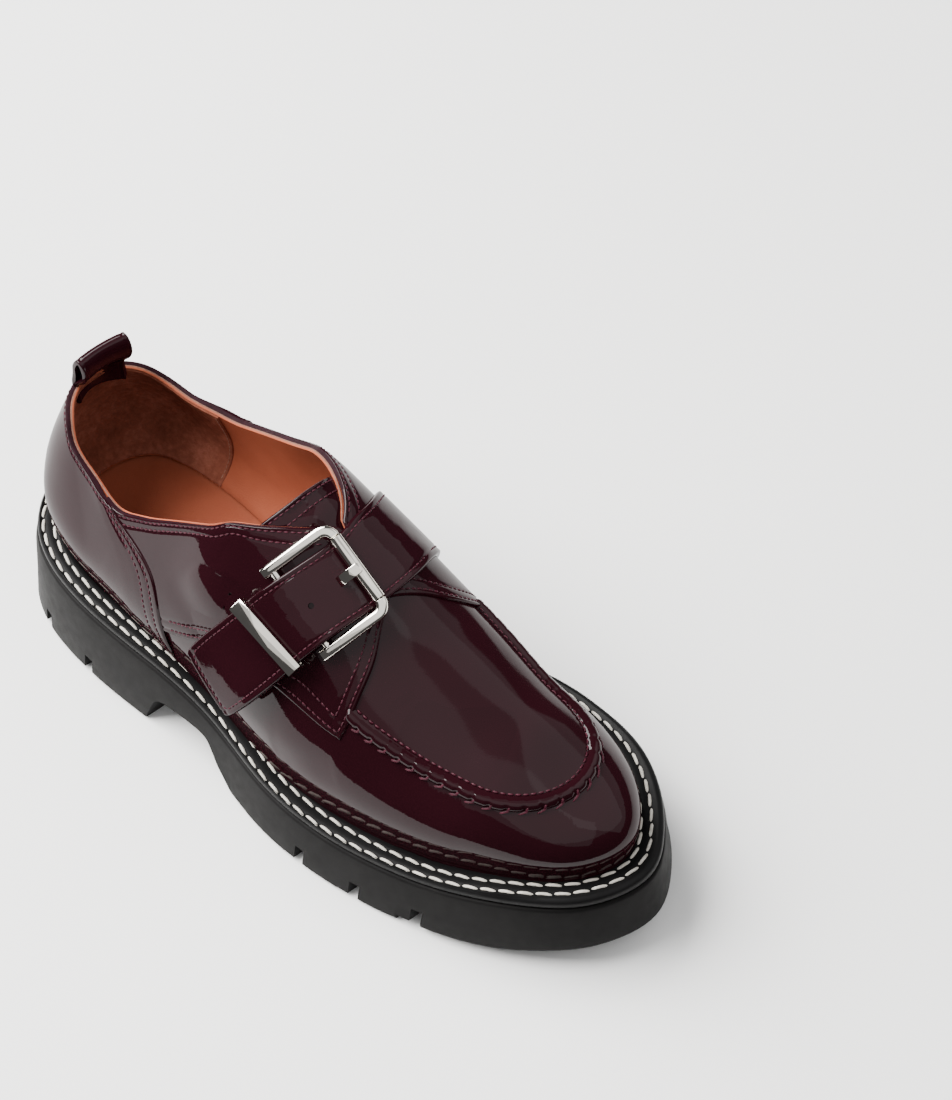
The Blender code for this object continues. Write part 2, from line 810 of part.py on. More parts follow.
def make_upper(parts, cutters, patent):
    back_panel = new_object("back_panel_form", cutters, last_form(BACK_STEP, -0.6 * MM, fades=True))
    back_side = new_object("back_panel_outline", cutters, side_prism(back_panel_outline()))
    combine(back_panel, "INTERSECT", back_side)
    quarters = new_object("quarter_form", cutters, last_form(QUARTER_STEP, -0.9 * MM, fades=True))
    quarter_side = new_object("quarter_outline", cutters, side_prism(quarter_outline()))
    combine(quarters, "INTERSECT", quarter_side)
    ridge = new_object("apron_ridge", cutters, apron_ridge_mesh(cutters))
    inside = new_object("inside_form", cutters, last_form(-WALL, 4 * MM))
    collar = new_object("collar_outline", cutters, side_prism(collar_outline()))
    upper = new_object("upper", parts, last_form(0.0, 0.0), patent)
    combine(upper, "UNION", ridge)
    combine(upper, "UNION", quarters)
    combine(upper, "UNION", back_panel)
    combine(upper, "DIFFERENCE", inside)
    combine(upper, "DIFFERENCE", collar)


def make_tongue(parts, patent):
    """A sheet close under the upper, from the throat to under the strap."""
    stations = [0.43 * LENGTH, 0.46 * LENGTH, 0.50 * LENGTH, 0.54 * LENGTH, 0.58 * LENGTH]
    rows = [row for row in ROWS if row >= 0.74]
    outside = -WALL - 2 * GAP
    inside = outside - TONGUE_THICKNESS
    rings = []
    for along in stations:
        ring = []
        for side, order in ((-1, 1), (1, -1)):
            rib = side_rib(along, side)
            face = [in_shoe(rib, *place) for place in offset_rows(rib, outside, rows)]
            ring += face[::order] if side < 0 else face[-2::-1]
        for side in (1, -1):
            rib = side_rib(along, side)
            face = [in_shoe(rib, *place) for place in offset_rows(rib, inside, rows)]
            ring += face if side > 0 else face[-2::-1]
        rings.append(ring)
    new_object("tongue", parts, loft(rings), patent)


# ---- Strap, buckle and keeper


def strap_place(at, share, height):
    """A point of the strap: at in its table, share across from its upper edge, height in it."""
    upper_along, upper_girth, lower_along, lower_girth, lift = strap_curve(at)[0]
    along = (upper_along + (lower_along - upper_along) * share) / 100 * LENGTH
    girth = upper_girth + (lower_girth - upper_girth) * share
    return on_upper(along, girth, lift * MM + height)


strap_curve = steady_curve(range(len(STRAP)), STRAP)


def strap_mesh():
    tip = ((0.0, 0.16), (0.12, 0.05), (0.3, 0.0))
    body = [(at, 0.0) for at in np.linspace(0.6, len(STRAP) - 1, 32)]
    rings = []
    for at, narrowing in tip + tuple(body):
        shares = np.linspace(narrowing, 1 - narrowing, 5)
        below = [strap_place(at, share, 0.0) for share in shares]
        above = [strap_place(at, share, STRAP_THICKNESS) for share in shares]
        rings.append(below + above[::-1])
    return loft(rings)


def buckle_axes():
    across = BUCKLE_ACROSS / np.linalg.norm(BUCKLE_ACROSS)
    down = BUCKLE_ENDS - BUCKLE_MIDDLE
    down -= across * (down @ across)
    down /= np.linalg.norm(down)
    return across, down, np.cross(down, across) * (1 if np.cross(down, across)[2] > 0 else -1)


def in_buckle(across, down, height=0.0):
    """A point of the buckle, at a height over its gently arched middle surface."""
    side, along, out = buckle_axes()
    share = down / BUCKLE_LENGTH
    lift = BUCKLE_LIFT[0] + (BUCKLE_LIFT[1] - BUCKLE_LIFT[0]) * share
    lift += 4 * BUCKLE_ARCH * share * (1 - share)
    return BUCKLE_MIDDLE + side * across + along * down + out * (lift + height)


def bar_section(place, sideways, width, thickness):
    """Eight corners of a bar with worn edges; sideways is a step in the buckle's plane."""
    corners = []
    worn = 0.28
    for turn in range(8):
        wide = (0.5 if turn in (0, 1, 6, 7) else -0.5) * (1 if turn in (0, 7, 3, 4) else 1 - worn)
        high = (0.5 if turn < 4 else -0.5) * (1 if turn in (1, 2, 5, 6) else 1 - worn)
        across = place[0] + sideways[0] * wide * width
        down = place[1] + sideways[1] * wide * width
        corners.append(in_buckle(across, down, high * thickness))
    return corners


def frame_path():
    """(across, down) places along the arms and corners of the buckle, and the way sideways."""
    half = (BUCKLE_WIDTH - BAR_WIDTH) / 2
    edge = ROLLER_RADIUS
    bend = BUCKLE_CORNER - BAR_WIDTH / 2  # to the bar's middle line
    yield (-half, BUCKLE_LENGTH), (-1.0, 0.0)
    yield (-half, BUCKLE_LENGTH / 2), (-1.0, 0.0)
    for turn in np.linspace(0, math.pi / 2, 6):
        out = (-math.cos(turn), -math.sin(turn))
        yield (-half + bend + bend * out[0], edge + bend + bend * out[1]), out


def frame_rings():
    rings = [bar_section(place, side, BAR_WIDTH, BAR_THICKNESS) for place, side in frame_path()]
    axle = 2 * ROLLER_AXLE
    stop = BUCKLE_WIDTH / 2 - BUCKLE_CORNER
    rings.append(bar_section((-stop, ROLLER_RADIUS), (0.0, -1.0), axle, axle))
    mirrored = []
    for place, side in frame_path():
        ring = bar_section((-place[0], place[1]), (side[0], side[1] * -1), BAR_WIDTH, BAR_THICKNESS)
        mirrored.append(ring)
    mirrored.append(bar_section((stop, ROLLER_RADIUS), (0.0, 1.0), axle, axle))
    return rings, mirrored


def round_ring(across, down, radius, count=12):
    """A ring round a line that runs across the buckle."""
    return [
        in_buckle(across, down + radius * math.cos(turn), radius * math.sin(turn))
        for turn in np.linspace(0, 2 * math.pi, count, endpoint=False)
    ]


def frame_mesh():
    """One arm with its corner, the axle inside the roller, and the other arm."""
    first, second = frame_rings()
    turned_over = [[ring[i] for i in (3, 2, 1, 0, 7, 6, 5, 4)] for ring in second]
    return loft(first + turned_over[::-1])


def hinge_mesh():
    half = (BUCKLE_WIDTH - BAR_WIDTH) / 2
    return loft([round_ring(across, HINGE_DOWN, HINGE_RADIUS) for across in (-half, half)])


def roller_mesh():
    half = ROLLER_LENGTH / 2
    rings = [
        round_ring(-half, ROLLER_RADIUS, ROLLER_BORE),
        round_ring(-half, ROLLER_RADIUS, ROLLER_RADIUS),
        round_ring(half, ROLLER_RADIUS, ROLLER_RADIUS),
        round_ring(half, ROLLER_RADIUS, ROLLER_BORE),
    ]
    return loft(rings, closed=True)


def prong_mesh():
    """A strip from the hinge bar, up through the strap, with its tip on the roller."""
    rest = ROLLER_RADIUS + GAP + PRONG_THICKNESS / 2
    # down from the closed side, height over the buckle's middle surface, share of the full width
    stations = (
        (HINGE_DOWN - HINGE_RADIUS - GAP - PRONG_THICKNESS / 2, 0.0, 1.0),
        (21.0 * MM, -1.6 * MM, 1.0),
        (15.0 * MM, -2.4 * MM, 1.0),
        (12.2 * MM, -2.4 * MM, 1.0),
        (10.6 * MM, -1.0 * MM, 1.0),
        (9.2 * MM, 0.8 * MM, 1.0),
        (6.5 * MM, 2.6 * MM, 1.0),
        (4.2 * MM, rest, 1.0),
        (1.6 * MM, rest, 1.0),
        (0.9 * MM, rest - 0.2 * MM, 0.55),
    )
    rings = []
    for i, (down, height, share) in enumerate(stations):
        before = stations[max(i - 1, 0)]
        after = stations[min(i + 1, len(stations) - 1)]
        run = Vector((after[0] - before[0], after[1] - before[1])).normalized()
        up = Vector((run.y, -run.x)) * PRONG_THICKNESS / 2
        half = PRONG_WIDTH / 2 * share
        corners = ((-half, 1), (half, 1), (half, -1), (-half, -1))
        rings.append(
            [in_buckle(PRONG_ACROSS + x, down + up.x * k, height + up.y * k) for x, k in corners]
        )
    return loft(rings)


def hole_mesh(down, half_across, half_down, sides):
    """A cutter through the strap."""
    rings = []
    for height in (-9 * MM, 4 * MM):
        turns = np.linspace(0, 2 * math.pi, sides, endpoint=False) + math.pi / sides
        grow = 1 / math.cos(math.pi / sides)
        rings.append(
            [
                in_buckle(
                    PRONG_ACROSS + half_across * grow * math.cos(turn),
                    down + half_down * grow * math.sin(turn),
                    height,
                )
                for turn in turns
            ]
        )
    return loft(rings)


def make_strap(parts, cutters, patent):
    strap = new_object("strap", parts, strap_mesh(), patent)
    prong_hole = hole_mesh(PRONG_HOLE_DOWN + 0.8 * MM, PRONG_WIDTH / 2 + GAP, 3.4 * MM, 4)
    combine(strap, "DIFFERENCE", new_object("prong_hole", cutters, prong_hole))
    spare_hole = hole_mesh(SPARE_HOLE_DOWN, 1.2 * MM, 1.2 * MM, 12)
    combine(strap, "DIFFERENCE", new_object("spare_hole", cutters, spare_hole))


def make_buckle(parts, cutters, nickel):
    frame = new_object("buckle_frame", parts, frame_mesh(), nickel)
    combine(frame, "UNION", new_object("hinge_bar", cutters, hinge_mesh()))
    new_object("buckle_roller", parts, roller_mesh(), nickel)
    new_object("buckle_prong", parts, prong_mesh(), nickel)


def make_keeper(parts, nickel):
    """A flat bar over the strap, closed under it by a thin rod."""
    girth_length = 105 * MM
    lift = float(strap_curve(3.0)[0, 4]) * MM
    over = lift + STRAP_THICKNESS + 3 * GAP
    under = lift - 2 * GAP - KEEPER_ROD
    inner_upper = KEEPER_ALONG[0] / 100 * LENGTH
    inner_lower = KEEPER_ALONG[1] / 100 * LENGTH
    # ends of the loop: inner along, outer along, inner lift, outer lift, width
    narrow = KEEPER_ROD
    stations = (
        (inner_upper, inner_upper - KEEPER_ROD, over, over + KEEPER_THICKNESS, KEEPER_WIDTH),
        (inner_lower, inner_lower + KEEPER_ROD, over, over + KEEPER_THICKNESS, KEEPER_WIDTH),
        (inner_lower, inner_lower + KEEPER_ROD, over - 0.1 * MM, over - 0.1 * MM, narrow),
        (inner_lower, inner_lower + KEEPER_ROD, under + narrow, under, narrow),
        (inner_upper, inner_upper - KEEPER_ROD, under + narrow, under, narrow),
        (inner_upper, inner_upper - KEEPER_ROD, over - 0.1 * MM, over - 0.1 * MM, narrow),
    )
    rings = []
    for inner, outer, inner_lift, outer_lift, width in stations:
        share = (inner - inner_upper) / (inner_lower - inner_upper)
        girth = KEEPER_GIRTH + 0.01 - 0.025 * share
        half = width / 2 / girth_length
        rings.append(
            [
                on_upper(inner, girth - half, inner_lift),
                on_upper(inner, girth + half, inner_lift),
                on_upper(outer, girth + half, outer_lift),
                on_upper(outer, girth - half, outer_lift),
            ]
        )
    new_object("strap_keeper", parts, loft(rings, closed=True), nickel)


def make_pull_loop(parts, patent):
    """A folded strip that stands up at the back of the collar, its two feet inside the wall."""
    path = np.array(LOOP_PATH) * MM
    at = np.concatenate(([0], np.cumsum(np.linalg.norm(np.diff(path[:, :2], axis=0), axis=1))))
    curve = flowing_curve(at, path, ((0.35, 0.94, 0.0), (-0.35, -0.94, 0.0)))
    places = np.linspace(-1, 1, 5) * LOOP_WIDTH / 2 + LOOP_MIDDLE
    rings = []
    for where in np.linspace(0, at[-1], 22):
        along, height, bow = curve(where)[0]
        run = curve.slope(where)[0, :2]
        run /= np.linalg.norm(run)
        ring = []
        for out, order in ((-1, 1), (1, -1)):
            step = out * LOOP_THICKNESS / 2
            for across in places[::order]:
                bowed = along + bow * ((across - HEEL_POINT[1]) / (LOOP_WIDTH / 2)) ** 2
                ring.append((bowed - run[1] * step, across, height + run[0] * step))
        rings.append(ring)
    new_object("pull_loop", parts, loft(rings), patent)


def main():
    clear_scene()
    parts = new_collection("buckled_shoe")
    cutters = new_collection("cutters", hidden=True)
    patent = new_material("patent_leather", (0.028, 0.006, 0.010), 0.12)
    lining = new_material("lining_leather", (0.38, 0.08, 0.026), 0.7)
    rubber = new_material("sole_rubber", (0.025, 0.024, 0.023), 0.6)
    welt_rubber = new_material("welt_rubber", (0.022, 0.021, 0.020), 0.45)
    nickel = new_material("polished_nickel", (0.80, 0.77, 0.72), 0.12, metallic=1.0)
    make_outsole(parts, cutters, rubber)
    make_welt(parts, welt_rubber)
    make_insole(parts, lining)
    make_upper(parts, cutters, patent)
    make_tongue(parts, patent)
    make_strap(parts, cutters, patent)
    make_buckle(parts, cutters, nickel)
    make_keeper(parts, nickel)
    make_pull_loop(parts, patent)


main()
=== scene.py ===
"""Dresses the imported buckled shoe: patent panels, stitching, linings, polished buckle and lugged sole.

Points of the shoe are worked out in millimetres as (along, across, height): along from the back of
the welt to the toe, across towards the inner side of the foot, height from the floor. in_frame()
turns them into the model's own metres. The tables repeat those of the solids.
"""

import collections
import math

import bmesh
import bpy
import numpy as np
from mathutils import Matrix, Vector


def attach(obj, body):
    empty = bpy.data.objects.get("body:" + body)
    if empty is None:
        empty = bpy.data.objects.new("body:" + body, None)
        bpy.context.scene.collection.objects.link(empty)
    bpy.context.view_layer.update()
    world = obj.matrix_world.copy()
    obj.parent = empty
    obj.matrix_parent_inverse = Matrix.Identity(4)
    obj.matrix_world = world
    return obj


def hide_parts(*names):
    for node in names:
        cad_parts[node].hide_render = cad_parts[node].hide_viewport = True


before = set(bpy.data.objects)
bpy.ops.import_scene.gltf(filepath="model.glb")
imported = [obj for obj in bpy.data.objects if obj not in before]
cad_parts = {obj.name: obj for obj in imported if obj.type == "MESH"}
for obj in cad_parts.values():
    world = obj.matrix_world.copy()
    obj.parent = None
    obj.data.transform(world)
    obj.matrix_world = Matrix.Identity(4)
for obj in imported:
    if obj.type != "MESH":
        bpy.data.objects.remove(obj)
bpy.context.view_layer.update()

# ---- Sizes shared with the solids, millimetres
LENGTH = 276.3
BALL_WIDTH = 100.7
INSTEP_HEIGHT = 111.0
HEEL_HEIGHT = 36.5
CENTRE = np.array((138.2, 1.0, 0.0))
SEAT_GAP = 0.4
WALL = 2.2
WELT_THICKNESS = 4.5
SOLE_FLARE = 3.8
STRAP_THICKNESS = 2.4
LUG_DEPTH = 8.0
LUG_GAP = 4.0
LEDGE_DEPTH = 1.5
LEDGE_WIDTH = 5.0
LUG_TURN = math.radians(-8.0)
ARCH_TURN = math.radians(-7.5)
HEEL_POINT = np.array((0.1375 * LENGTH, 0.01 * BALL_WIDTH))
TOE_POINT = np.array((0.796 * LENGTH, 0.05 * BALL_WIDTH))
TOE_FALL = -0.25
TOE_PACE = 1.03

# ---- How finely the last is laid out
FAN = 28  # columns in each quarter turn round the heel
SIDES = 92  # columns along each side
TOE_FAN = 32  # columns in each quarter turn round the toe
HALF_WAY = FAN + SIDES + TOE_FAN  # the column at the tip of the toe
COLUMNS = 2 * HALF_WAY
ROWS = 40  # rows from the feather to the shoulder, and again to the spine


def table(units, *rows):
    """Rows of percentages made lengths: one unit for each column."""
    return np.array(rows) / 100 * np.array(units)


WELT_OUTLINE = table(
    (LENGTH, BALL_WIDTH, BALL_WIDTH),
    (0.0, 0.0, 0.0),
    (1.4, 16.7, 18.7),
    (5.4, 31.7, 33.4),
    (12.7, 40.5, 40.1),
    (22.1, 43.6, 40.9),
    (32.6, 43.5, 36.3),
    (42.3, 43.9, 34.0),
    (52.8, 49.6, 38.4),
    (63.0, 50.6, 47.9),
    (72.0, 47.4, 52.6),
    (80.3, 41.8, 51.2),
    (87.6, 34.1, 44.9),
    (93.7, 23.8, 33.8),
    (97.7, 12.2, 21.6),
    (100.0, -7.7, 7.7),
)
SOLE_TOP = table(
    (LENGTH, HEEL_HEIGHT),
    (0.0, 100.0),
    (14.1, 90.1),
    (30.0, 85.5),
    (46.0, 64.1),
    (62.3, 57.5),
    (76.4, 63.8),
    (88.7, 79.5),
    (101.0, 87.7),
)
SOLE_UNDERSIDE = table(
    (LENGTH, HEEL_HEIGHT),
    (0.0, 12.3),
    (1.1, 4.9),
    (2.9, 0.0),
    (72.0, 0.0),
    (79.6, 5.5),
    (88.7, 14.2),
    (95.2, 24.7),
    (99.9, 29.6),
)
SECTION_COLUMNS = (
    "inset_outer inset_inner bulge_outer bulge_inner belly_outer belly_inner "
    "shoulder_outer shoulder_inner shoulder_height_outer shoulder_height_inner"
).split()
SECTIONS = table(
    (LENGTH,) + (BALL_WIDTH,) * 4 + (INSTEP_HEIGHT,) * 2 + (BALL_WIDTH,) * 2 + (INSTEP_HEIGHT,) * 2,
    (2.9, 7.9, 7.9, 4.0, 4.0, 17.1, 17.1, 23.8, 23.8, 87.8, 87.8),
    (13.8, 8.9, 7.9, 3.5, 3.0, 16.2, 16.2, 25.3, 23.3, 77.5, 77.5),
    (21.0, 8.9, 7.9, 3.0, 2.5, 16.2, 16.2, 29.8, 27.8, 73.9, 73.9),
    (26.1, 7.9, 7.0, 2.5, 2.5, 16.2, 16.2, 29.3, 27.3, 78.4, 78.4),
    (32.6, 7.0, 6.0, 2.0, 3.0, 18.0, 18.0, 26.8, 24.3, 88.3, 88.3),
    (39.1, 6.0, 5.0, 2.0, 3.5, 19.8, 19.8, 24.3, 21.4, 98.2, 98.2),
    (44.9, 6.0, 5.0, 2.0, 3.0, 19.8, 19.8, 25.8, 21.4, 91.0, 93.7),
    (50.7, 7.0, 6.0, 2.0, 2.5, 18.9, 17.1, 29.3, 23.8, 81.1, 84.7),
    (56.5, 7.9, 7.9, 2.5, 1.5, 18.0, 13.5, 32.8, 26.3, 71.6, 74.8),
    (63.0, 8.9, 9.9, 2.5, 0.5, 17.1, 10.8, 35.3, 27.3, 63.1, 65.8),
    (68.8, 9.3, 10.9, 2.5, 0.0, 16.2, 9.0, 33.8, 26.3, 59.5, 61.3),
    (74.6, 9.5, 11.9, 2.5, 0.0, 15.3, 9.0, 31.8, 23.8, 57.7, 57.7),
    (79.6, 9.9, 11.9, 2.5, 0.0, 14.4, 9.0, 28.8, 22.3, 56.8, 55.9),
    (86.9, 9.9, 11.4, 2.5, 0.5, 12.6, 9.0, 26.8, 23.3, 56.3, 55.4),
    (95.5, 10.2, 10.2, 2.0, 2.0, 10.8, 10.8, 25.8, 25.8, 55.9, 55.9),
)
SIDE_VIEW = (LENGTH, INSTEP_HEIGHT)
RIDGE = table(
    SIDE_VIEW,
    (2.9, 117.1),
    (13.8, 117.1),
    (21.0, 117.1),
    (26.1, 117.1),
    (32.6, 116.2),
    (39.1, 113.5),
    (44.9, 107.2),
    (50.7, 99.1),
    (56.5, 91.0),
    (63.0, 81.5),
    (68.8, 74.8),
    (74.6, 69.8),
    (79.6, 66.7),
)
TOPLINE = table(
    SIDE_VIEW,
    (5.1, 87.8),
    (8.0, 85.6),
    (10.9, 80.6),
    (16.3, 76.1),
    (21.0, 73.9),
    (25.3, 77.9),
    (30.8, 85.6),
    (36.2, 93.7),
    (39.8, 99.4),
    (43.1, 100.9),
    (46.0, 101.6),
    (48.1, 101.4),
    (50.3, 100.0),
)
ARCH = table(
    (LENGTH, HEEL_HEIGHT),
    (31.8, 0.0),
    (34.4, 43.8),
    (43.4, 43.8),
    (46.0, 19.0),
    (49.6, 4.1),
    (53.2, 4.1),
    (53.2, 0.0),
)
# along % of length, inner end % of ball width, side it opens to
LUG_GAPS = (
    (14.3, -17.9, 1),
    (24.5, -21.8, 1),
    (57.4, -23.8, 1),
    (66.2, -22.3, 1),
    (75.0, -20.9, 1),
    (84.1, -12.9, 1),
    (11.9, 24.3, -1),
    (21.6, 20.9, -1),
    (63.7, 22.3, -1),
    (72.4, 26.8, -1),
    (81.0, 26.5, -1),
)
# upper along %, upper girth, lower along %, lower girth, lift mm
STRAP = np.array(
    (
        (38.0, -0.80, 46.2, -0.90, 1.6),
        (41.3, -0.63, 50.7, -0.69, 1.8),
        (43.9, -0.50, 53.5, -0.53, 3.2),
        (45.3, -0.42, 54.7, -0.44, 3.9),
        (46.8, -0.33, 55.7, -0.36, 5.9),
        (47.8, -0.27, 56.6, -0.29, 5.9),
        (49.2, -0.18, 57.7, -0.20, 4.2),
        (50.2, -0.10, 58.5, -0.13, 2.9),
        (50.6, -0.03, 59.0, -0.06, 1.5),
        (50.1, 0.04, 59.2, 0.02, 1.5),
        (49.5, 0.122, 58.9, 0.107, 1.6),
        (47.0, 0.299, 57.6, 0.25, 1.6),
        (42.3, 0.573, 54.8, 0.50, 1.6),
    )
)
BUCKLE_MIDDLE = np.array((151.2, 1.1, 103.7))
BUCKLE_ENDS = np.array((142.0, -24.5, 91.25))
BUCKLE_ACROSS = np.array((33.2, -3.0, -18.5))
BUCKLE_WIDTH = 38.0
BUCKLE_LENGTH = 30.0
BUCKLE_CORNER = 6.0
BAR_WIDTH = 4.0
BAR_THICKNESS = 3.0
BUCKLE_LIFT = (8.4, 4.3)
BUCKLE_ARCH = 1.0
HINGE_DOWN = 26.5
HINGE_RADIUS = 1.3
ROLLER_RADIUS = 2.3
ROLLER_BORE = 1.5
ROLLER_LENGTH = 25.2
PRONG_ACROSS = 0.4
PRONG_WIDTH = 3.8
PRONG_THICKNESS = 1.2
KEEPER_WIDTH = 5.5
KEEPER_THICKNESS = 1.4
LOOP_WIDTH = 20.0
LOOP_THICKNESS = 1.6
LOOP_MIDDLE = 3.0
LOOP_PATH = (  # along, height, bow
    (13.2, 88.0, 4.4),
    (13.8, 97.0, 4.2),
    (17.3, 104.5, 2.4),
    (19.6, 110.0, 1.2),
    (22.0, 112.6, 1.0),
    (24.0, 109.6, 1.2),
    (20.6, 102.0, 2.4),
    (14.8, 96.8, 4.1),
    (14.2, 88.0, 4.4),
)

Rib = collections.namedtuple("Rib", "start way along side reach")


# ---- Curves


class Curve:
    """Cubic pieces through values at rising stations, with the slope given at each."""

    def __init__(self, at, values, slopes):
        self.at = np.asarray(at, float)
        self.values = np.asarray(values, float)
        self.slopes = np.asarray(slopes, float)

    def pieces(self, at):
        at = np.clip(np.atleast_1d(at), self.at[0], self.at[-1])
        i = np.clip(np.searchsorted(self.at, at, side="right") - 1, 0, len(self.at) - 2)
        step = (self.at[i + 1] - self.at[i])[:, None]
        return i, step, (at - self.at[i])[:, None] / step

    def __call__(self, at):
        i, step, t = self.pieces(at)
        start = (1 + 2 * t) * (1 - t) ** 2 * self.values[i] + t * (1 - t) ** 2 * step * self.slopes[i]
        end = t**2 * (3 - 2 * t) * self.values[i + 1] + t**2 * (t - 1) * step * self.slopes[i + 1]
        return start + end

    def slope(self, at):
        i, step, t = self.pieces(at)
        rise = 6 * t * (1 - t) * (self.values[i + 1] - self.values[i]) / step
        return rise + (1 - t) * (1 - 3 * t) * self.slopes[i] + t * (3 * t - 2) * self.slopes[i + 1]


def steady_curve(at, values):
    """A curve that never swings past its values."""
    at = np.asarray(at, float)
    values = np.asarray(values, float).reshape(len(at), -1)
    step = np.diff(at)[:, None]
    rise = np.diff(values, axis=0) / step
    slopes = np.zeros_like(values)
    slopes[0] = rise[0]
    slopes[-1] = rise[-1]
    before = 2 * step[1:] + step[:-1]
    after = step[1:] + 2 * step[:-1]
    same_way = rise[:-1] * rise[1:] > 0
    low = np.where(same_way, rise[:-1], 1.0)
    high = np.where(same_way, rise[1:], 1.0)
    slopes[1:-1] = np.where(same_way, (before + after) / (before / low + after / high), 0.0)
    return Curve(at, values, slopes)


def flowing_curve(at, values, ends=None):
    """The smoothest curve through its values: with given end slopes, or closed when it has none."""
    at = np.asarray(at, float)
    values = np.asarray(values, float)
    count = len(at)
    step = np.diff(at)
    system = np.zeros((count, count))
    right = np.zeros(values.shape)
    for i in range(count):
        if ends is not None and i in (0, count - 1):
            system[i, i] = 1
            right[i] = ends[0] if i == 0 else ends[1]
            continue
        if i == count - 1:
            system[i, 0] = 1
            system[i, i] = -1
            continue
        before = step[i - 1]
        after = step[i]
        last = values[i - 1] if i else values[count - 2]
        system[i, i - 1 if i else count - 2] += 1 / before
        system[i, i] += 2 / before + 2 / after
        system[i, i + 1] += 1 / after
        right[i] = 3 * ((values[i] - last) / before**2 + (values[i + 1] - values[i]) / after**2)
    return Curve(at, values, np.linalg.solve(system, right))


def lengths_along(points):
    """The distance of each point of a path from its first."""
    return np.concatenate(([0.0], np.cumsum(np.linalg.norm(np.diff(points, axis=0), axis=1))))


def read_off(values, at, where):
    """Rows of values known at the distances in at, read off at other distances."""
    return np.stack([np.interp(where, at, column) for column in values.T], axis=-1)


def unit(vectors):
    return vectors / np.linalg.norm(vectors, axis=-1)[..., None]


def even_points(points, step):
    """The points of a path laid out again at about this step."""
    at = lengths_along(points)
    count = max(2, int(round(at[-1] / step)) + 1)
    return read_off(points, at, np.linspace(0, at[-1], count))


def softened(values, rounds, closed=False):
    """Values along a path, each averaged with its neighbours this many times."""
    values = np.array(values, float)
    for _ in range(rounds):
        if closed:
            values = (np.roll(values, 1, 0) + 2 * values + np.roll(values, -1, 0)) / 4
        else:
            inner = (values[:-2] + 2 * values[1:-1] + values[2:]) / 4
            values = np.concatenate((values[:1], inner, values[-1:]))
    return values


# ---- The last: every panel, stitch and lining is laid out over it


def welt_outline(count=720):
    """Points round the edge of the welt."""
    outer = [(along, -across) for along, across, _ in WELT_OUTLINE]
    inner = [(along, across) for along, _, across in WELT_OUTLINE[1:-1]][::-1]
    points = np.array(outer + inner + outer[:1])
    chords = np.sqrt(np.linalg.norm(np.diff(points, axis=0), axis=1))
    at = np.concatenate(([0], np.cumsum(chords)))
    return flowing_curve(at, points)(np.linspace(0, at[-1], count, endpoint=False))


OUTLINE = welt_outline()
sole_top_curve = steady_curve(SOLE_TOP[:, 0], SOLE_TOP[:, 1])
underside_curve = steady_curve(SOLE_UNDERSIDE[:, 0], SOLE_UNDERSIDE[:, 1])
section_curve = steady_curve(SECTIONS[:, 0], SECTIONS[:, 1:])
ridge_curve = steady_curve(RIDGE[:, 0], RIDGE[:, 1])
strap_curve = steady_curve(range(len(STRAP)), STRAP)
topline_curve = steady_curve(TOPLINE[:, 0], TOPLINE[:, 1])
SOFTEN_BY = np.array((-7.0, -3.5, 0.0, 3.5, 7.0))
SOFTEN_SHARE = np.array((1, 4, 6, 4, 1)) / 16


def sole_top(along):
    return sole_top_curve(along)[:, 0]


def underside(along):
    return underside_curve(along)[:, 0]


def reach(start, way):
    """How far the edge of the welt lies from a point on the spine."""
    near = OUTLINE - start
    far = np.roll(OUTLINE, -1, axis=0) - start
    cross_near = way[0] * near[:, 1] - way[1] * near[:, 0]
    cross_far = way[0] * far[:, 1] - way[1] * far[:, 0]
    crossed = np.flatnonzero((cross_near * cross_far <= 0) & (cross_near != cross_far))
    share = (cross_near[crossed] / (cross_near[crossed] - cross_far[crossed]))[:, None]
    return float(((near[crossed] + share * (far[crossed] - near[crossed])) @ way).max())


def make_rib(start, degrees, along, side):
    turn = math.radians(degrees)
    way = np.array([math.cos(turn), math.sin(turn)])
    return Rib(start, way, along, side, reach(start, way))


def all_ribs():
    """Sections right round the shoe: the outer side from heel to toe, then the inner side back."""
    heel_along = SECTIONS[0, 0]
    toe_along = SECTIONS[-1, 0]
    outer = []
    inner = []
    for i in range(FAN):
        turn = 90 * i / FAN
        along = heel_along + (HEEL_POINT[0] - heel_along) * (1 - math.cos(math.radians(turn)))
        outer.append(make_rib(HEEL_POINT, 180 + turn, along, -1))
        if i:
            inner.append(make_rib(HEEL_POINT, 180 - turn, along, 1))
    for along in np.linspace(HEEL_POINT[0], TOE_POINT[0], SIDES, endpoint=False):
        share = (along - HEEL_POINT[0]) / (TOE_POINT[0] - HEEL_POINT[0])
        start = HEEL_POINT + share * (TOE_POINT - HEEL_POINT)
        outer.append(make_rib(start, -90, along, -1))
        inner.append(make_rib(start, 90, along, 1))
    for i in range(TOE_FAN + 1):
        turn = 90 * i / TOE_FAN
        share = i / TOE_FAN
        share = TOE_PACE * share + (3 - 2 * TOE_PACE) * share**2 + (TOE_PACE - 2) * share**3
        along = TOE_POINT[0] + (toe_along - TOE_POINT[0]) * share
        outer.append(make_rib(TOE_POINT, 270 + turn, along, -1))
        if i < TOE_FAN:
            inner.append(make_rib(TOE_POINT, 90 - turn, along, 1))
    return outer + inner[::-1]


RIBS = all_ribs()


def section(rib, name):
    """A size of the last at this rib, eased along the shoe, on its own side of the foot."""
    name += "_outer" if rib.side < 0 else "_inner"
    near = section_curve(rib.along + SOFTEN_BY)[:, SECTION_COLUMNS.index(name)]
    return float(near @ SOFTEN_SHARE)


def feather(rib):
    """How far out from the spine the upper meets the welt."""
    return rib.reach - section(rib, "inset")


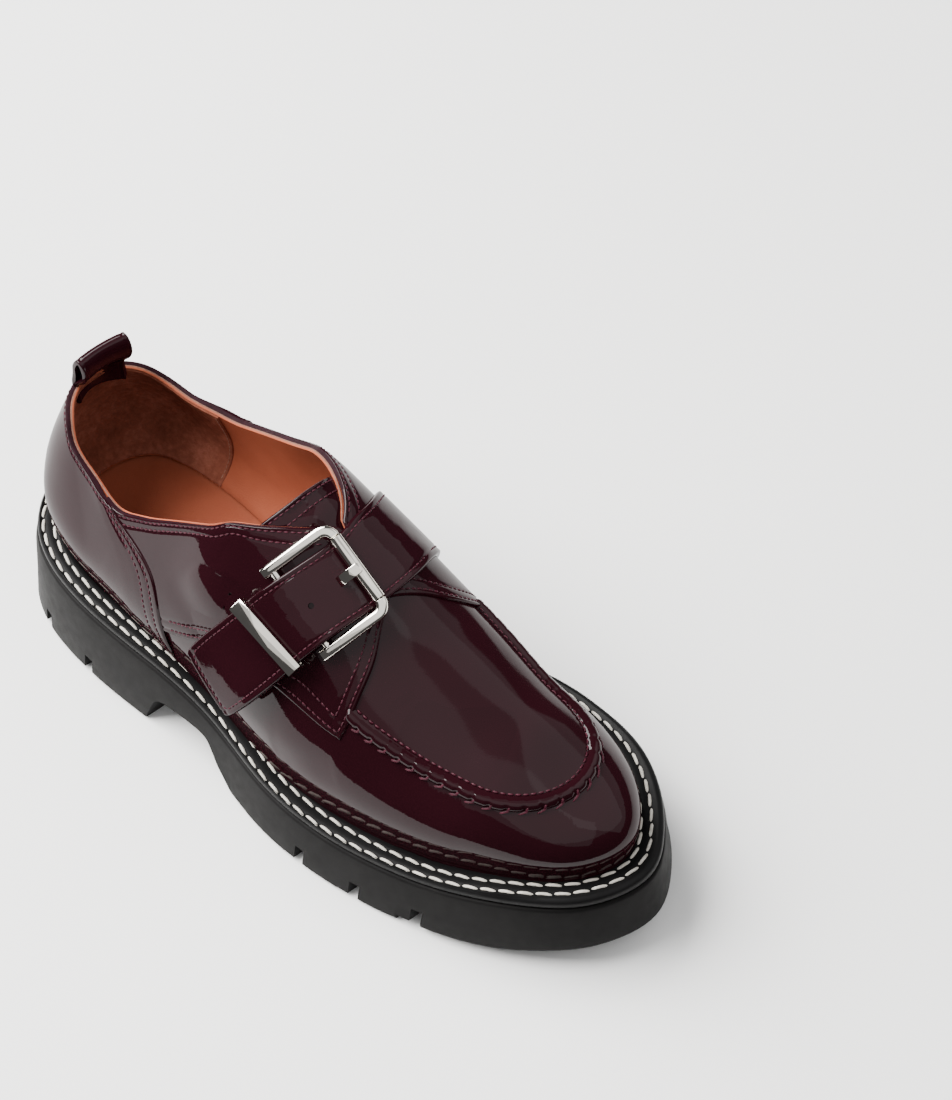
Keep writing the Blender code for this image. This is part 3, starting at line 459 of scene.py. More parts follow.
def profile_points(rib):
    """The section at this rib from the feather up to the spine, in the shoe."""
    foot = feather(rib)
    floor = float(sole_top((rib.start + rib.way * foot)[0])[0]) + WELT_THICKNESS
    top = float(ridge_curve(rib.start[0] + SOFTEN_BY)[:, 0] @ SOFTEN_SHARE)
    corners = np.array(
        (
            (foot, floor),
            (foot + section(rib, "bulge"), floor + section(rib, "belly")),
            (section(rib, "shoulder"), section(rib, "shoulder_height")),
            (0.0, top),
        )
    )
    at = lengths_along(corners)
    fall = TOE_FALL * rib.way[0] if rib.start[0] >= TOE_POINT[0] else 0.0
    curve = flowing_curve(at, corners, (np.array((0.33, 0.94)), np.array((-0.9, -0.9 * fall))))
    shares = np.linspace(0, 2, 2 * ROWS + 1)
    out, up = curve(np.interp(shares, (0, 1, 2), (0, at[2], at[3]))).T
    plan = rib.start + rib.way * out[:, None]
    return np.column_stack((plan, up))


def last_grid():
    """Points of the last, one row of them for each column round the shoe, from feather to spine."""
    grid = np.array([profile_points(rib) for rib in RIBS])
    soft = softened(grid, 6, closed=True)
    shares = np.linspace(0, 2, 2 * ROWS + 1)
    keep = np.clip((shares - 1.35) / 0.5, 0, 1)[None, :, None]
    keep = keep * keep * (3 - 2 * keep)
    return soft * (1 - keep) + grid * keep


LAST = last_grid()


def top_grid():
    """The same points from the outer feather over the spine to the inner one, heel to toe point."""
    outer = LAST[FAN : FAN + SIDES + 1]
    inner = LAST[[COLUMNS - FAN - i for i in range(SIDES + 1)]]
    return np.concatenate((outer, inner[:, -2::-1]), axis=1)


TOP = softened(top_grid(), 2)
TOP = np.swapaxes(softened(np.swapaxes(TOP, 0, 1), 4), 0, 1)


def blend_weights(t):
    """How much each of four neighbours counts at a share of the way between the middle two."""
    return ((1 - t) ** 3 / 6, (3 * t**3 - 6 * t**2 + 4) / 6, (3 * t - 3 * t**3 + 3 * t**2 + 1) / 6, t**3 / 6)


def sample(grid, first, second, wraps):
    """Smooth points of a grid at fractional places; it runs straight on past an open edge."""
    total = 0.0
    places = []
    for at in (first, second):
        low = np.floor(at).astype(int)
        places.append((low, blend_weights(at - low)))
    for i in range(4):
        rows = places[0][0] - 1 + i
        for j in range(4):
            columns = places[1][0] - 1 + j
            weight = (places[0][1][i] * places[1][1][j])[..., None]
            total = total + weight * look_up(grid, rows, columns, wraps)
    return total


def look_up(grid, rows, columns, wraps):
    """Points of a grid by row and column; rows go round it or, like columns, run straight on."""
    last = grid.shape[1] - 1
    inside = np.clip(columns, 0, last)
    step = np.where(columns < 0, 1, -1)
    over = np.abs(columns - inside)[..., None]
    if wraps:
        rows = rows % grid.shape[0]
        edge = grid[rows, inside]
        return edge + over * (edge - grid[rows, inside + step])
    row_inside = np.clip(rows, 0, grid.shape[0] - 1)
    row_step = np.where(rows < 0, 1, -1)
    row_over = np.abs(rows - row_inside)[..., None]
    edge = grid[row_inside, inside]
    total = edge + over * (edge - grid[row_inside, inside + step])
    return total + row_over * (edge - grid[row_inside + row_step, inside])


def over_grid(grid, first, second, wraps=False):
    """Points of a grid at fractional places, and its normals there."""

    def place(row, column):
        return sample(grid, row, column, wraps)

    step = 0.5
    along = place(first + step, second) - place(first - step, second)
    upward = place(first, second + step) - place(first, second - step)
    normal = np.cross(along, upward)
    normal /= np.maximum(np.linalg.norm(normal, axis=-1), 1e-9)[..., None]
    return place(first, second), normal


def round_way(column, share):
    """Points and outward normals: column round the shoe, share 0 feather, 1 shoulder, 2 spine."""
    column = np.asarray(column, float)
    share = np.asarray(share, float) + 0 * column
    column = column + 0 * share
    return over_grid(LAST, column, share * ROWS, wraps=True)


def over_top(along, turn):
    """Points and outward normals over the top: turn -2 outer feather, 0 spine, 2 inner feather."""
    along = np.asarray(along, float)
    turn = np.asarray(turn, float) + 0 * along
    along = along + 0 * turn
    column = (along - HEEL_POINT[0]) / (TOE_POINT[0] - HEEL_POINT[0]) * SIDES
    return over_grid(TOP, column, (turn + 2) * ROWS)


def side_column(along, side):
    """The column of the side at this distance along."""
    column = FAN + (np.asarray(along, float) - HEEL_POINT[0]) / (TOE_POINT[0] - HEEL_POINT[0]) * SIDES
    return column if side < 0 else COLUMNS - column


def turn_near(along, across, height):
    """Where on the section at this distance along the last passes nearest a point."""
    turns = np.linspace(-2, 2, 321)
    points, _ = over_top(along, turns)
    return turns[np.argmin((points[:, 1] - across) ** 2 + (points[:, 2] - height) ** 2)]


def turns_at(points):
    """(along, turn) places nearest to points of the shoe."""
    return np.array([(point[0], turn_near(*point)) for point in points])


def turn_of_girth(along, girth):
    """The turn at a share of the way round from the spine to the feather."""
    turns = np.linspace(0, 2, 161) * (-1 if girth < 0 else 1)
    points, _ = over_top(along, turns)
    at = lengths_along(points)
    return float(np.interp(abs(girth) * at[-1], at, turns))


RIM_DIP = 4.5  # how far the topline dips on the inner side of the heel
RIM_DIP_ALONG = 26.0
RIM_DIP_WIDTH = 19.0


def rim_share(column):
    """Where a column of the last crosses the topline, as a share from feather to spine."""
    shares = np.linspace(0.3, 2, 341)
    points, _ = round_way(column, shares)
    dip = RIM_DIP * np.exp(-(((points[:, 0] - RIM_DIP_ALONG) / RIM_DIP_WIDTH) ** 2))
    dip = dip * np.clip(points[:, 1] / 12.0, 0, 1)
    over = points[:, 2] - topline_curve(points[:, 0])[:, 0] + dip
    crossed = np.flatnonzero(over > 0)
    if not len(crossed):
        return 2.0
    i = crossed[0]
    return float(shares[i - 1] + (shares[i] - shares[i - 1]) * over[i - 1] / (over[i - 1] - over[i]))


# ---- Meshes


def in_frame(points):
    """Places in the model, in metres, of points of the shoe."""
    return (np.asarray(points, float) - CENTRE) * 0.001


def add_object(name, data):
    made = bpy.data.objects.new(name, data)
    bpy.context.scene.collection.objects.link(made)
    return made


def mesh_object(name, points, faces):
    mesh = bpy.data.meshes.new(name)
    mesh.from_pydata([tuple(p) for p in in_frame(points)], [], [tuple(int(i) for i in f) for f in faces])
    return add_object(name, mesh)


def weld(mesh, distance):
    """Merges points that lie closer than this and turns the faces outwards."""
    work = bmesh.new()
    work.from_mesh(mesh)
    bmesh.ops.remove_doubles(work, verts=work.verts, dist=distance)
    bmesh.ops.recalc_face_normals(work, faces=work.faces)
    work.to_mesh(mesh)
    work.free()


def loose_object(name, points, faces):
    """A closed solid that is worked on further before it is a piece."""
    made = mesh_object(name, points, faces)
    weld(made.data, 1e-6)
    return made


def new_piece(name, points, faces, material, slot, angle=60.0, replaces=()):
    """A piece of the shoe from points in the shoe and faces over them."""
    piece = mesh_object(name, points, faces)
    piece.data.validate()
    finish_piece(piece, material, slot, angle, replaces)


def finish_piece(piece, material, slot, angle, replaces=()):
    """Smooth shading with sharp corners, its finish, and its place on the model."""
    weld(piece.data, 2e-6)
    piece.data.shade_smooth()
    piece.data.set_sharp_from_angle(angle=math.radians(angle))
    piece.data.materials.clear()
    for one in material if isinstance(material, tuple) else (material,):
        piece.data.materials.append(one)
    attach(piece, "root")
    if replaces:
        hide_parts(*replaces)


def grid_faces(rows, columns, start=0, closed_rows=False, closed_columns=False, flip=False):
    """Faces over a grid of points kept row by row."""
    index = start + np.arange(rows * columns).reshape(rows, columns)
    if closed_rows:
        index = np.concatenate((index, index[:1]))
    if closed_columns:
        index = np.concatenate((index, index[:, :1]), axis=1)
    quads = np.stack((index[:-1, :-1], index[1:, :-1], index[1:, 1:], index[:-1, 1:]), axis=-1).reshape(-1, 4)
    return (quads[:, ::-1] if flip else quads).tolist()


EDGE_STEPS = (0, 0.12, 0.3, 0.55, 0.85, 1.2, 1.7, 2.2, 2.7, 3.2, 3.8, 4.5, 5.2, 5.8, 6.4, 7.2)


def edge_steps(length, spacing):
    """Distances across a panel, close together at both of its edges."""
    near = [d for d in EDGE_STEPS if d < length * 0.45]
    middle = np.arange(near[-1] + spacing, length - near[-1] - spacing * 0.5, spacing)
    steps = np.concatenate((near, middle, length - np.array(near[::-1])))
    return np.unique(np.round(steps, 4))


class Panel:
    """A sheet laid over the last between four edges, given as paths of places on it.

    The paths run low edge and high edge from back to front, back edge and front edge from low to
    high. u runs from back to front and v from low to high.
    """

    def __init__(self, surface, low, front, high, back, spacing=1.6):
        self.surface = surface
        self.sides = []
        for side in (low, front, high, back):
            places = self.dense(np.asarray(side, float))
            self.sides.append((places, lengths_along(surface(*places.T)[0])))
        lengths = [at[-1] for _, at in self.sides]
        self.across = (lengths[0] + lengths[2]) / 2
        self.up = (lengths[1] + lengths[3]) / 2
        self.u = edge_steps(self.across, spacing) / self.across
        self.v = edge_steps(self.up, spacing) / self.up

    @staticmethod
    def dense(side, count=160):
        """A side's places laid out evenly, a turn counting as much as 40 mm."""
        at = lengths_along(side * np.array((1.0, 40.0)))
        return read_off(side, at, np.linspace(0, at[-1], count))

    def along_side(self, which, shares):
        """Places at shares of the real length of an edge: 0 low, 1 front, 2 high, 3 back."""
        places, at = self.sides[which]
        return read_off(places, at, np.asarray(shares) * at[-1])

    def places(self, u, v):
        """Places of the sheet at shares of the way from back to front and from low to high."""
        low, high = self.along_side(0, u), self.along_side(2, u)
        front, back = self.along_side(1, v), self.along_side(3, v)
        u = np.asarray(u)[..., None]
        v = np.asarray(v)[..., None]
        corners = [self.along_side(which, share) for which in (0, 2) for share in (0.0, 1.0)]
        blended = (1 - u) * (1 - v) * corners[0] + u * (1 - v) * corners[1]
        blended = blended + (1 - u) * v * corners[2] + u * v * corners[3]
        return (1 - v) * low + v * high + (1 - u) * back + u * front - blended

    def over(self, u, v):
        """Points and outward normals of the sheet."""
        places = self.places(u, v)
        return self.surface(places[..., 0], places[..., 1])


def worn_edge(distance, radius):
    """Share of full height at a distance from a rounded edge."""
    t = np.clip(distance / radius, 0, 1)
    return np.sqrt(np.maximum(1 - (1 - t) ** 2, 0))


def make_panel(
    name, panel, top, bottom, material, slot, shape=None, radius=0.6, grooves=(), replaces=(), angle=50.0, cutters=()
):
    """A closed sheet over the last.

    top and bottom are heights off the last, numbers or functions of (u, v). shape gives the height
    of its creases at points of the shoe. Each groove is (side, distance from it, depth, width).
    """
    u = panel.u[:, None] + 0 * panel.v[None]
    v = panel.v[None] + 0 * panel.u[:, None]
    points, normals = panel.over(u, v)
    edges = np.stack((v * panel.up, (1 - u) * panel.across, (1 - v) * panel.up, u * panel.across))
    distance = edges.min(axis=0)
    high = top(u, v) if callable(top) else top + 0 * u
    low = bottom(u, v) if callable(bottom) else bottom + 0 * u
    height = low + (high - low) * worn_edge(distance, radius)
    for which, at, depth, width in grooves:
        height = height - depth * np.exp(-(((edges[which] - at) / width) ** 2))
    if shape is not None:
        height = height + shape(points) * np.clip(distance / 2.0, 0, 1)
    upper = points + normals * height[..., None]
    lower = points + normals * low[..., None]
    rows, columns = upper.shape[:2]
    corners = np.concatenate((upper.reshape(-1, 3), lower.reshape(-1, 3)))
    faces = grid_faces(rows, columns) + grid_faces(rows, columns, rows * columns, flip=True)
    piece = loose_object(name, corners, faces)
    cut_away(piece, *cutters)
    finish_piece(piece, material, slot, angle, replaces)
    return piece


PAINT_REACH = 0.001  # metres


def paint_top_edge(piece, panel, height):
    """Gives the faces along a panel's top edge its second finish."""
    points, normals = panel.over(np.linspace(0, 1, 500), np.ones(500))
    line = in_frame(points + normals * height)
    for face in piece.data.polygons:
        near = np.min(np.linalg.norm(line - np.array(face.center), axis=1))
        if face.normal.z > 0.3 and near < PAINT_REACH:
            face.material_index = 1


def creases(*runs):
    """The shape of a panel creased by these troughs."""
    return lambda points: sum(trough(points, *run) for run in runs)


def trough(points, start, end, width, depth):
    """A soft crease along a straight line between two points of the shoe; below nought it is a swell."""
    start = np.array(start, float)
    run = np.array(end, float) - start
    share = np.clip(((points - start) @ run) / (run @ run), 0, 1)
    away = np.linalg.norm(points - (start + share[..., None] * run), axis=-1)
    fade = np.sin(np.pi * np.clip(share, 0.0, 1.0)) ** 0.5
    return -depth * np.exp(-((away / width) ** 2)) * np.clip(fade + 0.15, 0, 1)


def tube(path, radius, sides):
    """Points and faces of a rod along a path, closed at both ends."""
    run = unit(np.gradient(path, axis=0))
    sideways = np.cross(run, np.array((0.03, 0.05, 1.0)))
    sideways = unit(sideways - run * (sideways * run).sum(axis=1)[:, None])
    other = np.cross(run, sideways)
    turns = np.linspace(0, 2 * math.pi, sides, endpoint=False)
    ring = sideways[:, None] * np.cos(turns)[None, :, None] + other[:, None] * np.sin(turns)[None, :, None]
    points = (path[:, None] + ring * radius).reshape(-1, 3)
    faces = grid_faces(len(path), sides, closed_columns=True)
    return points, faces + [range(sides), range(len(points) - sides, len(points))]


def joined(parts):
    """One set of points and faces from several."""
    points = []
    faces = []
    start = 0
    for some, over in parts:
        points.append(np.asarray(some, float))
        faces += [tuple(int(i) + start for i in f) for f in over]
        start += len(some)
    return np.concatenate(points), faces


# ---- Stitching


def basic_solid(name, add, **settings):
    """One of the ready-made solids, with its place and turn taken into its mesh."""
    bpy.ops.object.select_all(action="DESELECT")
    add(**settings)
    made = bpy.context.object
    made.name = name
    bpy.ops.object.transform_apply(location=True, rotation=True, scale=True)
    return made


def pick(obj, kind, wanted):
    """Opens a mesh for editing with the edges (kind 1) or faces (kind 2) that pass a test selected."""
    bpy.context.tool_settings.mesh_select_mode = (False, kind == 1, kind == 2)
    for parts in (obj.data.vertices, obj.data.edges, obj.data.polygons):
        parts.foreach_set("select", [False] * len(parts))
    for part in obj.data.edges if kind == 1 else obj.data.polygons:
        part.select = bool(wanted(part))
    bpy.ops.object.mode_set(mode="EDIT")


def edit_all():
    bpy.ops.object.mode_set(mode="EDIT")
    bpy.ops.mesh.select_all(action="SELECT")


def end_edit():
    bpy.ops.object.mode_set(mode="OBJECT")


def cut_across(obj, axis, cuts):
    """Cuts a solid one long along an axis into even slices."""

    def lengthwise(edge):
        ends = [obj.data.vertices[i].co[axis] for i in edge.vertices]
        return abs(ends[0] - ends[1]) > 0.5

    pick(obj, 1, lengthwise)
    bpy.ops.mesh.subdivide_edgering(number_cuts=cuts)
    end_edit()


def one_stitch(sides, rings):
    """A single thread stitch, modelled once: a rod drawn thin at both ends, from -0.5 to 0.5 along x."""
    add = bpy.ops.mesh.primitive_cylinder_add
    rod = basic_solid("stitch", add, vertices=sides, radius=1.0, depth=1.0, end_fill_type="TRIFAN")
    cut_across(rod, 2, rings)
    points = np.array([(v.co.z, v.co.x, v.co.y) for v in rod.data.vertices])
    faces = [tuple(f.vertices) for f in rod.data.polygons]
    bpy.data.objects.remove(rod, do_unlink=True)
    full = np.clip(1 - (2 * np.abs(points[:, 0])) ** 4, 0.12, 1) ** 0.5
    points[:, 1:] *= full[:, None]
    return points, faces


STITCH_FLAT = 0.8  # a stitch's height against its width
STITCH_DIVE = 0.55  # how far its ends go under the surface, in radii


def stitch_row(template, path, normals, pitch, length, radius, slant=0.0, lift=0.45):
    """Copies of a stitch along a path, each bent over the surface with its ends drawn in."""
    shape, faces = template
    at = lengths_along(path)
    count = max(1, int(round(at[-1] / pitch)))
    pitch = at[-1] / count
    centres = (np.arange(count) + 0.5) * pitch
    where = np.clip(centres[:, None] + shape[None, :, 0] * length, 0, at[-1])
    middle = read_off(path, at, where)
    up = read_off(normals, at, where)
    run = unit(read_off(np.gradient(path, axis=0), at, where))
    side = unit(np.cross(up, run))
    bow = 1 - (2 * shape[None, :, 0]) ** 2
    sideways = shape[None, :, 1] * radius + slant * length * shape[None, :, 0]
    height = shape[None, :, 2] * radius * STITCH_FLAT + radius * (lift * bow - STITCH_DIVE * (1 - bow))
    points = middle + side * sideways[..., None] + up * height[..., None]
    return joined([(stitch, faces) for stitch in points])


def evened(points, normals, step=0.8):
    """A path and its normals at even spacing, with small steps in its height eased out."""
    at = lengths_along(points)
    where = np.linspace(0, at[-1], max(8, int(at[-1] / step)))
    return softened(read_off(points, at, where), 2), unit(read_off(normals, at, where))


def panel_row(panel, line, height):
    """A row across a panel through (millimetres from its back edge, millimetres from its low edge)."""
    line = even_points(np.asarray(line, float), 0.5)
    u, v = line[:, 0] / panel.across, line[:, 1] / panel.up
    points, normals = panel.over(u, v)
    lift = height(u, v) if callable(height) else np.full(len(u), height)
    return evened(points + normals * lift[:, None], normals)


# ---- Finishes


class Finish:
    """A material being put together from nodes; its plain colour is what shows without them."""

    def __init__(self, name, colour, roughness, metallic=0.0):
        self.material = bpy.data.materials.new(name)
        self.material.use_nodes = True
        self.nodes = self.material.node_tree.nodes
        self.links = self.material.node_tree.links
        self.shader = self.nodes["Principled BSDF"]
        self.set("Base Color", (*colour, 1.0))
        self.set("Roughness", roughness)
        self.set("Metallic", metallic)
        self.place = self.node("ShaderNodeTexCoord").outputs["Object"]

    def set(self, socket, value):
        self.shader.inputs[socket].default_value = value

    def node(self, kind, **settings):
        node = self.nodes.new(kind)
        for key, value in settings.items():
            if hasattr(node, key):
                setattr(node, key, value)
            else:
                node.inputs[key.replace("_", " ")].default_value = value
        return node

    def noise(self, scale, detail=3.0, roughness=0.5):
        noise = self.node("ShaderNodeTexNoise", Scale=scale, Detail=detail, Roughness=roughness)
        self.links.new(self.place, noise.inputs["Vector"])
        return noise.outputs["Fac"]

    def cells(self, scale):
        cells = self.node("ShaderNodeTexVoronoi", Scale=scale)
        self.links.new(self.place, cells.inputs["Vector"])
        return cells.outputs["Distance"]

    def ramp(self, value, *stops):
        """Stops are (place, colour or number)."""
        ramp = self.node("ShaderNodeValToRGB")
        bar = ramp.color_ramp
        while len(bar.elements) < len(stops):
            bar.elements.new(0.5)
        for element, (place, colour) in zip(bar.elements, stops):
            element.position = place
            colour = (colour,) * 3 if isinstance(colour, (int, float)) else colour
            element.color = (*colour, 1.0)
        self.links.new(value, ramp.inputs["Fac"])
        return ramp.outputs["Color"]

    def mix(self, share, first, second):
        mix = self.node("ShaderNodeMix", data_type="RGBA")
        for socket, value in ((0, share), (6, first), (7, second)):
            if isinstance(value, tuple):
                mix.inputs[socket].default_value = (*value, 1.0)
            elif isinstance(value, (int, float)):
                mix.inputs[socket].default_value = value
            else:
                self.links.new(value, mix.inputs[socket])
        return mix.outputs[2]

    def colour(self, socket):
        self.links.new(socket, self.shader.inputs["Base Color"])

    def roughness(self, value, low, high):
        spread = self.node("ShaderNodeMapRange", To_Min=low, To_Max=high)
        self.links.new(value, spread.inputs["Value"])
        self.links.new(spread.outputs["Result"], self.shader.inputs["Roughness"])

    def bump(self, *layers, coat=False):
        """Layers are (height socket, distance in metres, strength)."""
        last = None
        for height, distance, strength in layers:
            bump = self.node("ShaderNodeBump", Strength=strength, Distance=distance)
            self.links.new(height, bump.inputs["Height"])
            if last is not None:
                self.links.new(last, bump.inputs["Normal"])
            last = bump.outputs["Normal"]
        self.links.new(last, self.shader.inputs["Normal"])
        if coat:
            self.links.new(last, self.shader.inputs["Coat Normal"])


WINE = (0.0088, 0.0015, 0.0027)


def patent_leather(name, wave_scale, wave_height, fibre_height, haze):
    """Dark wine leather under a thin clear gloss, never quite flat."""
    finish = Finish(name, WINE, 0.5)
    finish.set("Coat Weight", 0.38)
    finish.set("Coat Roughness", haze)
    finish.set("Specular IOR Level", 0.0)
    cloud = finish.noise(22.0, 2.0)
    tone = finish.mix(finish.ramp(cloud, (0.35, 0.0), (0.7, 1.0)), WINE, tuple(c * 1.3 for c in WINE))
    finish.colour(tone)
    wave = finish.noise(wave_scale, 1.0, 0.4)
    fibre = finish.noise(330.0, 3.0, 0.5)
    grain = finish.noise(900.0, 2.0, 0.6)
    finish.bump((wave, wave_height, 0.5), (fibre, fibre_height, 0.5), (grain, 0.00002, 0.5), coat=True)
    return finish.material


def lining_leather():
    """Smooth tan leather with its pores."""
    finish = Finish("tan_lining_leather", (0.16, 0.045, 0.022), 0.6)
    cloud = finish.noise(30.0, 3.0)
    finish.colour(finish.ramp(cloud, (0.3, (0.22, 0.054, 0.027)), (0.7, (0.28, 0.075, 0.039))))
    pores = finish.cells(1400.0)
    finish.bump((finish.noise(160.0, 3.0), 0.0003, 0.25), (pores, 0.00012, 0.4))
    finish.set("Specular IOR Level", 0.06)
    return finish.material


def heel_suede():
    """Brown suede, its nap brushed darker and lighter."""
    finish = Finish("brown_heel_suede", (0.10, 0.025, 0.010), 0.95)
    nap = finish.noise(420.0, 6.0, 0.75)
    brushed = finish.mix(0.5, nap, finish.noise(60.0, 3.0))
    stops = (0.34, (0.115, 0.034, 0.021)), (0.5, (0.175, 0.055, 0.034)), (0.66, (0.265, 0.094, 0.062))
    finish.colour(finish.ramp(brushed, *stops))
    finish.set("Specular IOR Level", 0.0)
    finish.bump((nap, 0.0004, 0.7))
    return finish.material


def drifting(name, colour, roughness, drift, low, high, bumps=(), specular=0.5, dull=None, metallic=0.0):
    """A finish whose colour drifts between two tones.

    drift is the (scale, detail) of that noise, each bump is (scale, detail, height, strength), and
    dull, where the roughness drifts too, is (scale, detail, least, most).
    """
    finish = Finish(name, colour, roughness, metallic)
    finish.colour(finish.ramp(finish.noise(*drift), (0.3, low), (0.7, high)))
    if dull:
        finish.roughness(finish.noise(*dull[:2]), *dull[2:])
    if bumps:
        finish.bump(*((finish.noise(*bump[:-2]), *bump[-2:]) for bump in bumps))
    finish.set("Specular IOR Level", specular)
    return finish.material


PATENT = patent_leather("patent_leather_gloss", 75.0, 0.00012, 0.00004, 0.03)
APRON_PATENT = patent_leather("patent_leather_apron", 60.0, 0.00012, 0.00004, 0.10)
CREASED_PATENT = patent_leather("patent_leather_creased", 150.0, 0.00025, 0.00008, 0.03)
LINING = lining_leather()
SUEDE = heel_suede()
RAW_EDGE = drifting(
    "raw_leather_edge",
    (0.62, 0.30, 0.19),
    0.9,
    (900.0, 5.0, 0.7),
    (0.085, 0.032, 0.020),
    (0.165, 0.080, 0.053),
    [(900.0, 5.0, 0.7, 0.0003, 0.6)],
)
SOLE = drifting(
    "matt_sole_rubber",
    (0.022, 0.021, 0.020),
    0.6,
    (45.0, 4.0),
    (0.0052, 0.0049, 0.0049),
    (0.0072, 0.0068, 0.0068),
    [(2200.0, 2.0, 0.00006, 0.5), (90.0, 2.0, 0.0001, 0.2)],
    0.06,
    (260.0, 3.0, 0.48, 0.66),
)
WELT = drifting(
    "welt_rubber_satin",
    (0.018, 0.0175, 0.017),
    0.4,
    (80.0, 3.0),
    (0.0048, 0.0047, 0.0048),
    (0.0070, 0.0068, 0.0070),
    [(1500.0, 2.0, 0.00005, 0.4)],
    0.06,
    (300.0, 3.0, 0.3, 0.46),
)
CREAM = drifting(
    "cream_welt_thread",
    (0.72, 0.68, 0.60),
    0.7,
    (500.0, 3.0),
    (0.38, 0.355, 0.31),
    (0.56, 0.53, 0.48),
    [(2600.0, 2.0, 0.00015, 0.6)],
)
THREAD = drifting(
    "burgundy_thread",
    (0.15, 0.012, 0.035),
    0.55,
    (700.0, 3.0),
    (0.022, 0.0020, 0.0058),
    (0.052, 0.0058, 0.0150),
    [(3000.0, 2.0, 0.0001, 0.6)],
    0.2,
)
NICKEL = drifting(
    "polished_nickel_bright",
    (0.80, 0.76, 0.69),
    0.08,
    (120.0, 3.0),
    (0.74, 0.70, 0.63),
    (0.82, 0.78, 0.71),
    [(240.0, 2.0, 0.00004, 0.25)],
    dull=(500.0, 4.0, 0.03, 0.09),
    metallic=1.0,
)
CUT_EDGE = drifting(
    "inked_cut_edge",
    (0.02, 0.006, 0.009),
    0.6,
    (600.0, 3.0),
    (0.010, 0.003, 0.0045),
    (0.018, 0.005, 0.008),
    [(1200.0, 3.0, 0.00015, 0.5)],
    0.05,
)
TAN_THREAD = drifting(
    "tan_lining_thread",
    (0.45, 0.18, 0.10),
    0.7,
    (700.0, 3.0),
    (0.14, 0.05, 0.028),
    (0.24, 0.11, 0.07),
    [(3000.0, 2.0, 0.0001, 0.6)],
)


# ---- Sole, welt and insole


def dense_rings(pairs):
    """Rings round the shoe for each (distance out, height) pair of functions, row by row."""
    rings = []
    for distance, height in pairs:
        out = softened(np.array([distance(rib) for rib in RIBS]), 3, closed=True)
        plan = np.array([rib.start + rib.way * o for rib, o in zip(RIBS, out)])
        rings.append(np.column_stack((plan, height(plan[:, 0]))))
    return rings


def ring_mesh(rings, closed=False):
    """Points and faces over rings; closed joins the last ring to the first."""
    faces = grid_faces(len(rings), len(rings[0]), closed_rows=closed, closed_columns=True)
    return np.concatenate(rings), faces


def share_of_reach(share):
    """The distance out to a share of the way to the welt's edge, as a function of the rib."""
    return lambda rib: share * rib.reach


def past_reach(extra):
    """The distance out to this far past the welt's edge, as a function of the rib."""
    return lambda rib: rib.reach + extra


def select_only(*objects):
    """Selects these objects, the first of them active."""
    bpy.ops.object.select_all(action="DESELECT")
    for obj in objects:
        obj.select_set(True)
    bpy.context.view_layer.objects.active = objects[0]


def apply_modifier(obj, kind, **settings):
    modifier = obj.modifiers.new(kind.lower(), kind)
    for key, value in settings.items():
        setattr(modifier, key, value)
    select_only(obj)
    bpy.ops.object.modifier_apply(modifier=modifier.name)


def bevel(obj, width, degrees):
    """Rounds the corners sharper than this."""
    limit = math.radians(degrees)
    apply_modifier(obj, "BEVEL", width=width, segments=2, limit_method="ANGLE", angle_limit=limit)


def cut_away(obj, *cutters):
    """Takes these solids out of an object."""
    for cutter in cutters:
        apply_modifier(obj, "BOOLEAN", operation="DIFFERENCE", object=cutter, solver="EXACT")
        bpy.data.objects.remove(cutter, do_unlink=True)


def turned(points, turn, pivot_along):
    """Points turned about an upright line on the middle of the shoe."""
    points = np.array(points, float)
    near = points[:, 0] - pivot_along
    cos = math.cos(turn)
    sin = math.sin(turn)
    across = points[:, 1].copy()
    points[:, 0] = pivot_along + cos * near - sin * across
    points[:, 1] = sin * near + cos * across
    return points


def between_ends(count):
    """Faces of a solid between two like outlines of this many points."""
    return grid_faces(2, count, closed_columns=True) + [range(count), range(count, 2 * count)]


def prism(outline, heights):
    """A solid over a plan outline between two heights."""
    outline = np.asarray(outline, float)
    count = len(outline)
    low, high = (np.column_stack((outline, np.full(count, height))) for height in heights)
    return np.concatenate((low, high)), between_ends(count)


CUTTER_REACH = 90.0  # how far the cutters run out past the sole's sides


def lug_cutters():
    """The gaps between the lugs, rounded at their inner ends on the outer side, with their ledges."""
    made = []
    for along_share, inner_share, opens_to in LUG_GAPS:
        along = along_share / 100 * LENGTH
        inner = inner_share / 100 * BALL_WIDTH
        base = float(underside(along)[0])
        outer = opens_to * CUTTER_REACH
        half = LUG_GAP / 2
        if opens_to < 0:
            turns = np.linspace(0, math.pi, 9)
            end = [(along + half * math.cos(t), inner - half + half * math.sin(t)) for t in turns]
            outline = [(along + half, outer)] + end + [(along - half, outer)]
        else:
            outline = [(along + half, outer), (along + half, inner), (along - half, inner), (along - half, outer)]
        points, faces = prism(outline, (base - 3, base + LUG_DEPTH))
        made.append(loose_object("gap_cutter", turned(points, LUG_TURN, along), faces))
        near = along + opens_to * (half - 0.4)
        far = along + opens_to * (half + LEDGE_WIDTH)
        outline = [(near, outer), (near, inner), (far, inner), (far, outer)]
        points, faces = prism(outline, (base - 3.1, base + LEDGE_DEPTH))
        made.append(loose_object("ledge_cutter", turned(points, LUG_TURN, along), faces))
    return made


ARCH_ROUNDING = 0.22  # the share of each side that its rounded corners take up


